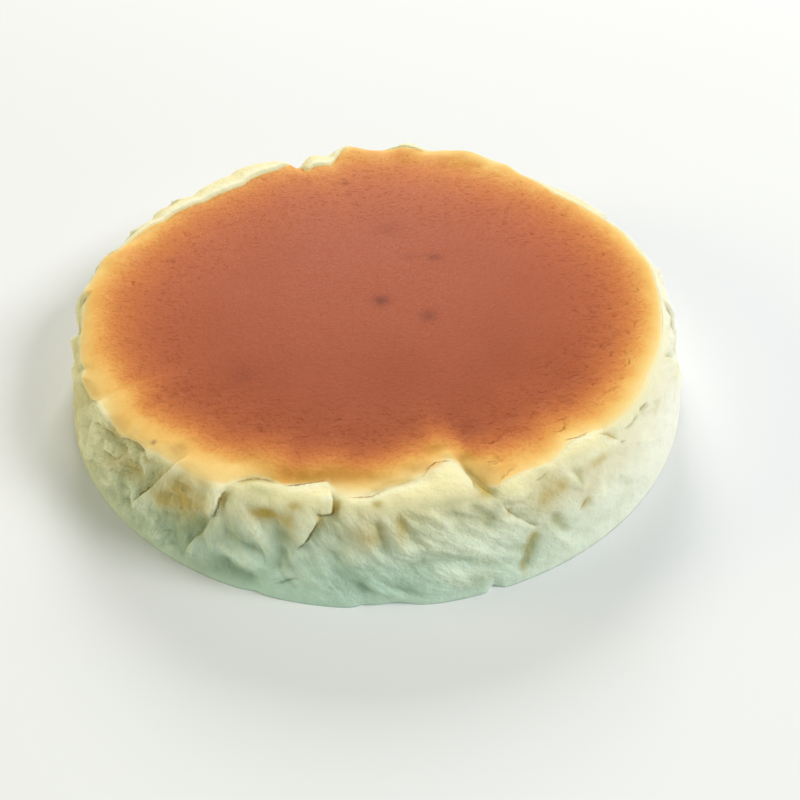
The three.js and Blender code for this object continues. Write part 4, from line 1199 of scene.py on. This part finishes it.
# Where the camera stands, in millimetres; how it is turned, in degrees: to the left from straight back,
# down from level, and over; its lens and sensor in millimetres, and the nearest it sees in metres
CAMERA_PLACE = (-3.38, -327.99, 279.37)
CAMERA_TURN = -2.25
CAMERA_DOWN = 42.52
CAMERA_ROLL = -0.37
CAMERA_LENS = 45.0
CAMERA_SENSOR = 36.0
CAMERA_NEAREST = 0.01


def make_camera():
    """The camera at the height and angle from which the cake is seen."""
    data = bpy.data.cameras.new("camera")
    data.lens = CAMERA_LENS
    data.sensor_width = CAMERA_SENSOR
    data.clip_start = CAMERA_NEAREST
    camera = placed("camera", data)
    turns = ((CAMERA_TURN, "Z"), (90 - CAMERA_DOWN, "X"), (CAMERA_ROLL, "Z"))
    turned, tilted, rolled = (Matrix.Rotation(np.radians(angle), 4, axis) for angle, axis in turns)
    camera.matrix_world = Matrix.Translation(Vector(CAMERA_PLACE) * MM) @ turned @ tilted @ rolled
    bpy.context.scene.camera = camera


# Azimuth and elevation are in degrees, the azimuth counted as the cake's angles are. Distance and size
# are in metres, and power is in watts.
LAMPS = listed(Lamp, [
    ("key", 346, 40, 3, 1.1, 62, (254, 254, 255)),
    ("back_window", 90, 32, 3, 1.1, 54, (255, 253, 250)),
    ("left_fill", 178, 20, 3, 1.2, 33, (255, 238, 196)),
    ("front_fill", 250, 25, 3, 1.8, 11, (240, 255, 244)),
])
SKY = (0.2, 0.24, 0.22)


def make_lights():
    """Soft square lamps that aim at the cake, and an even pale sky."""
    for lamp in LAMPS:
        data = bpy.data.lights.new(lamp.name, "AREA")
        data.size = lamp.size
        data.energy = lamp.power
        data.color = linear(*lamp.colour)[:3]
        light = placed(lamp.name, data)
        azimuth, elevation = np.radians(lamp.azimuth), np.radians(lamp.elevation)
        level = np.cos(elevation)
        towards = Vector((level * np.cos(azimuth), level * np.sin(azimuth), np.sin(elevation)))
        light.location = towards * lamp.distance
        light.rotation_euler = towards.to_track_quat("Z", "Y").to_euler()
    world = bpy.data.worlds.new("sky")
    world.use_nodes = True
    world.node_tree.nodes["Background"].inputs["Color"].default_value = (*SKY, 1)
    bpy.context.scene.world = world
    bpy.context.scene.view_settings.view_transform = "Standard"


cake = make_cake()
cake.data.materials.append(cake_finish())
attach(cake, "root")
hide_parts(NODE)

floor = make_floor()
floor.data.materials.append(plain_finish("pale_floor", FLOOR))

make_camera()
make_lights()
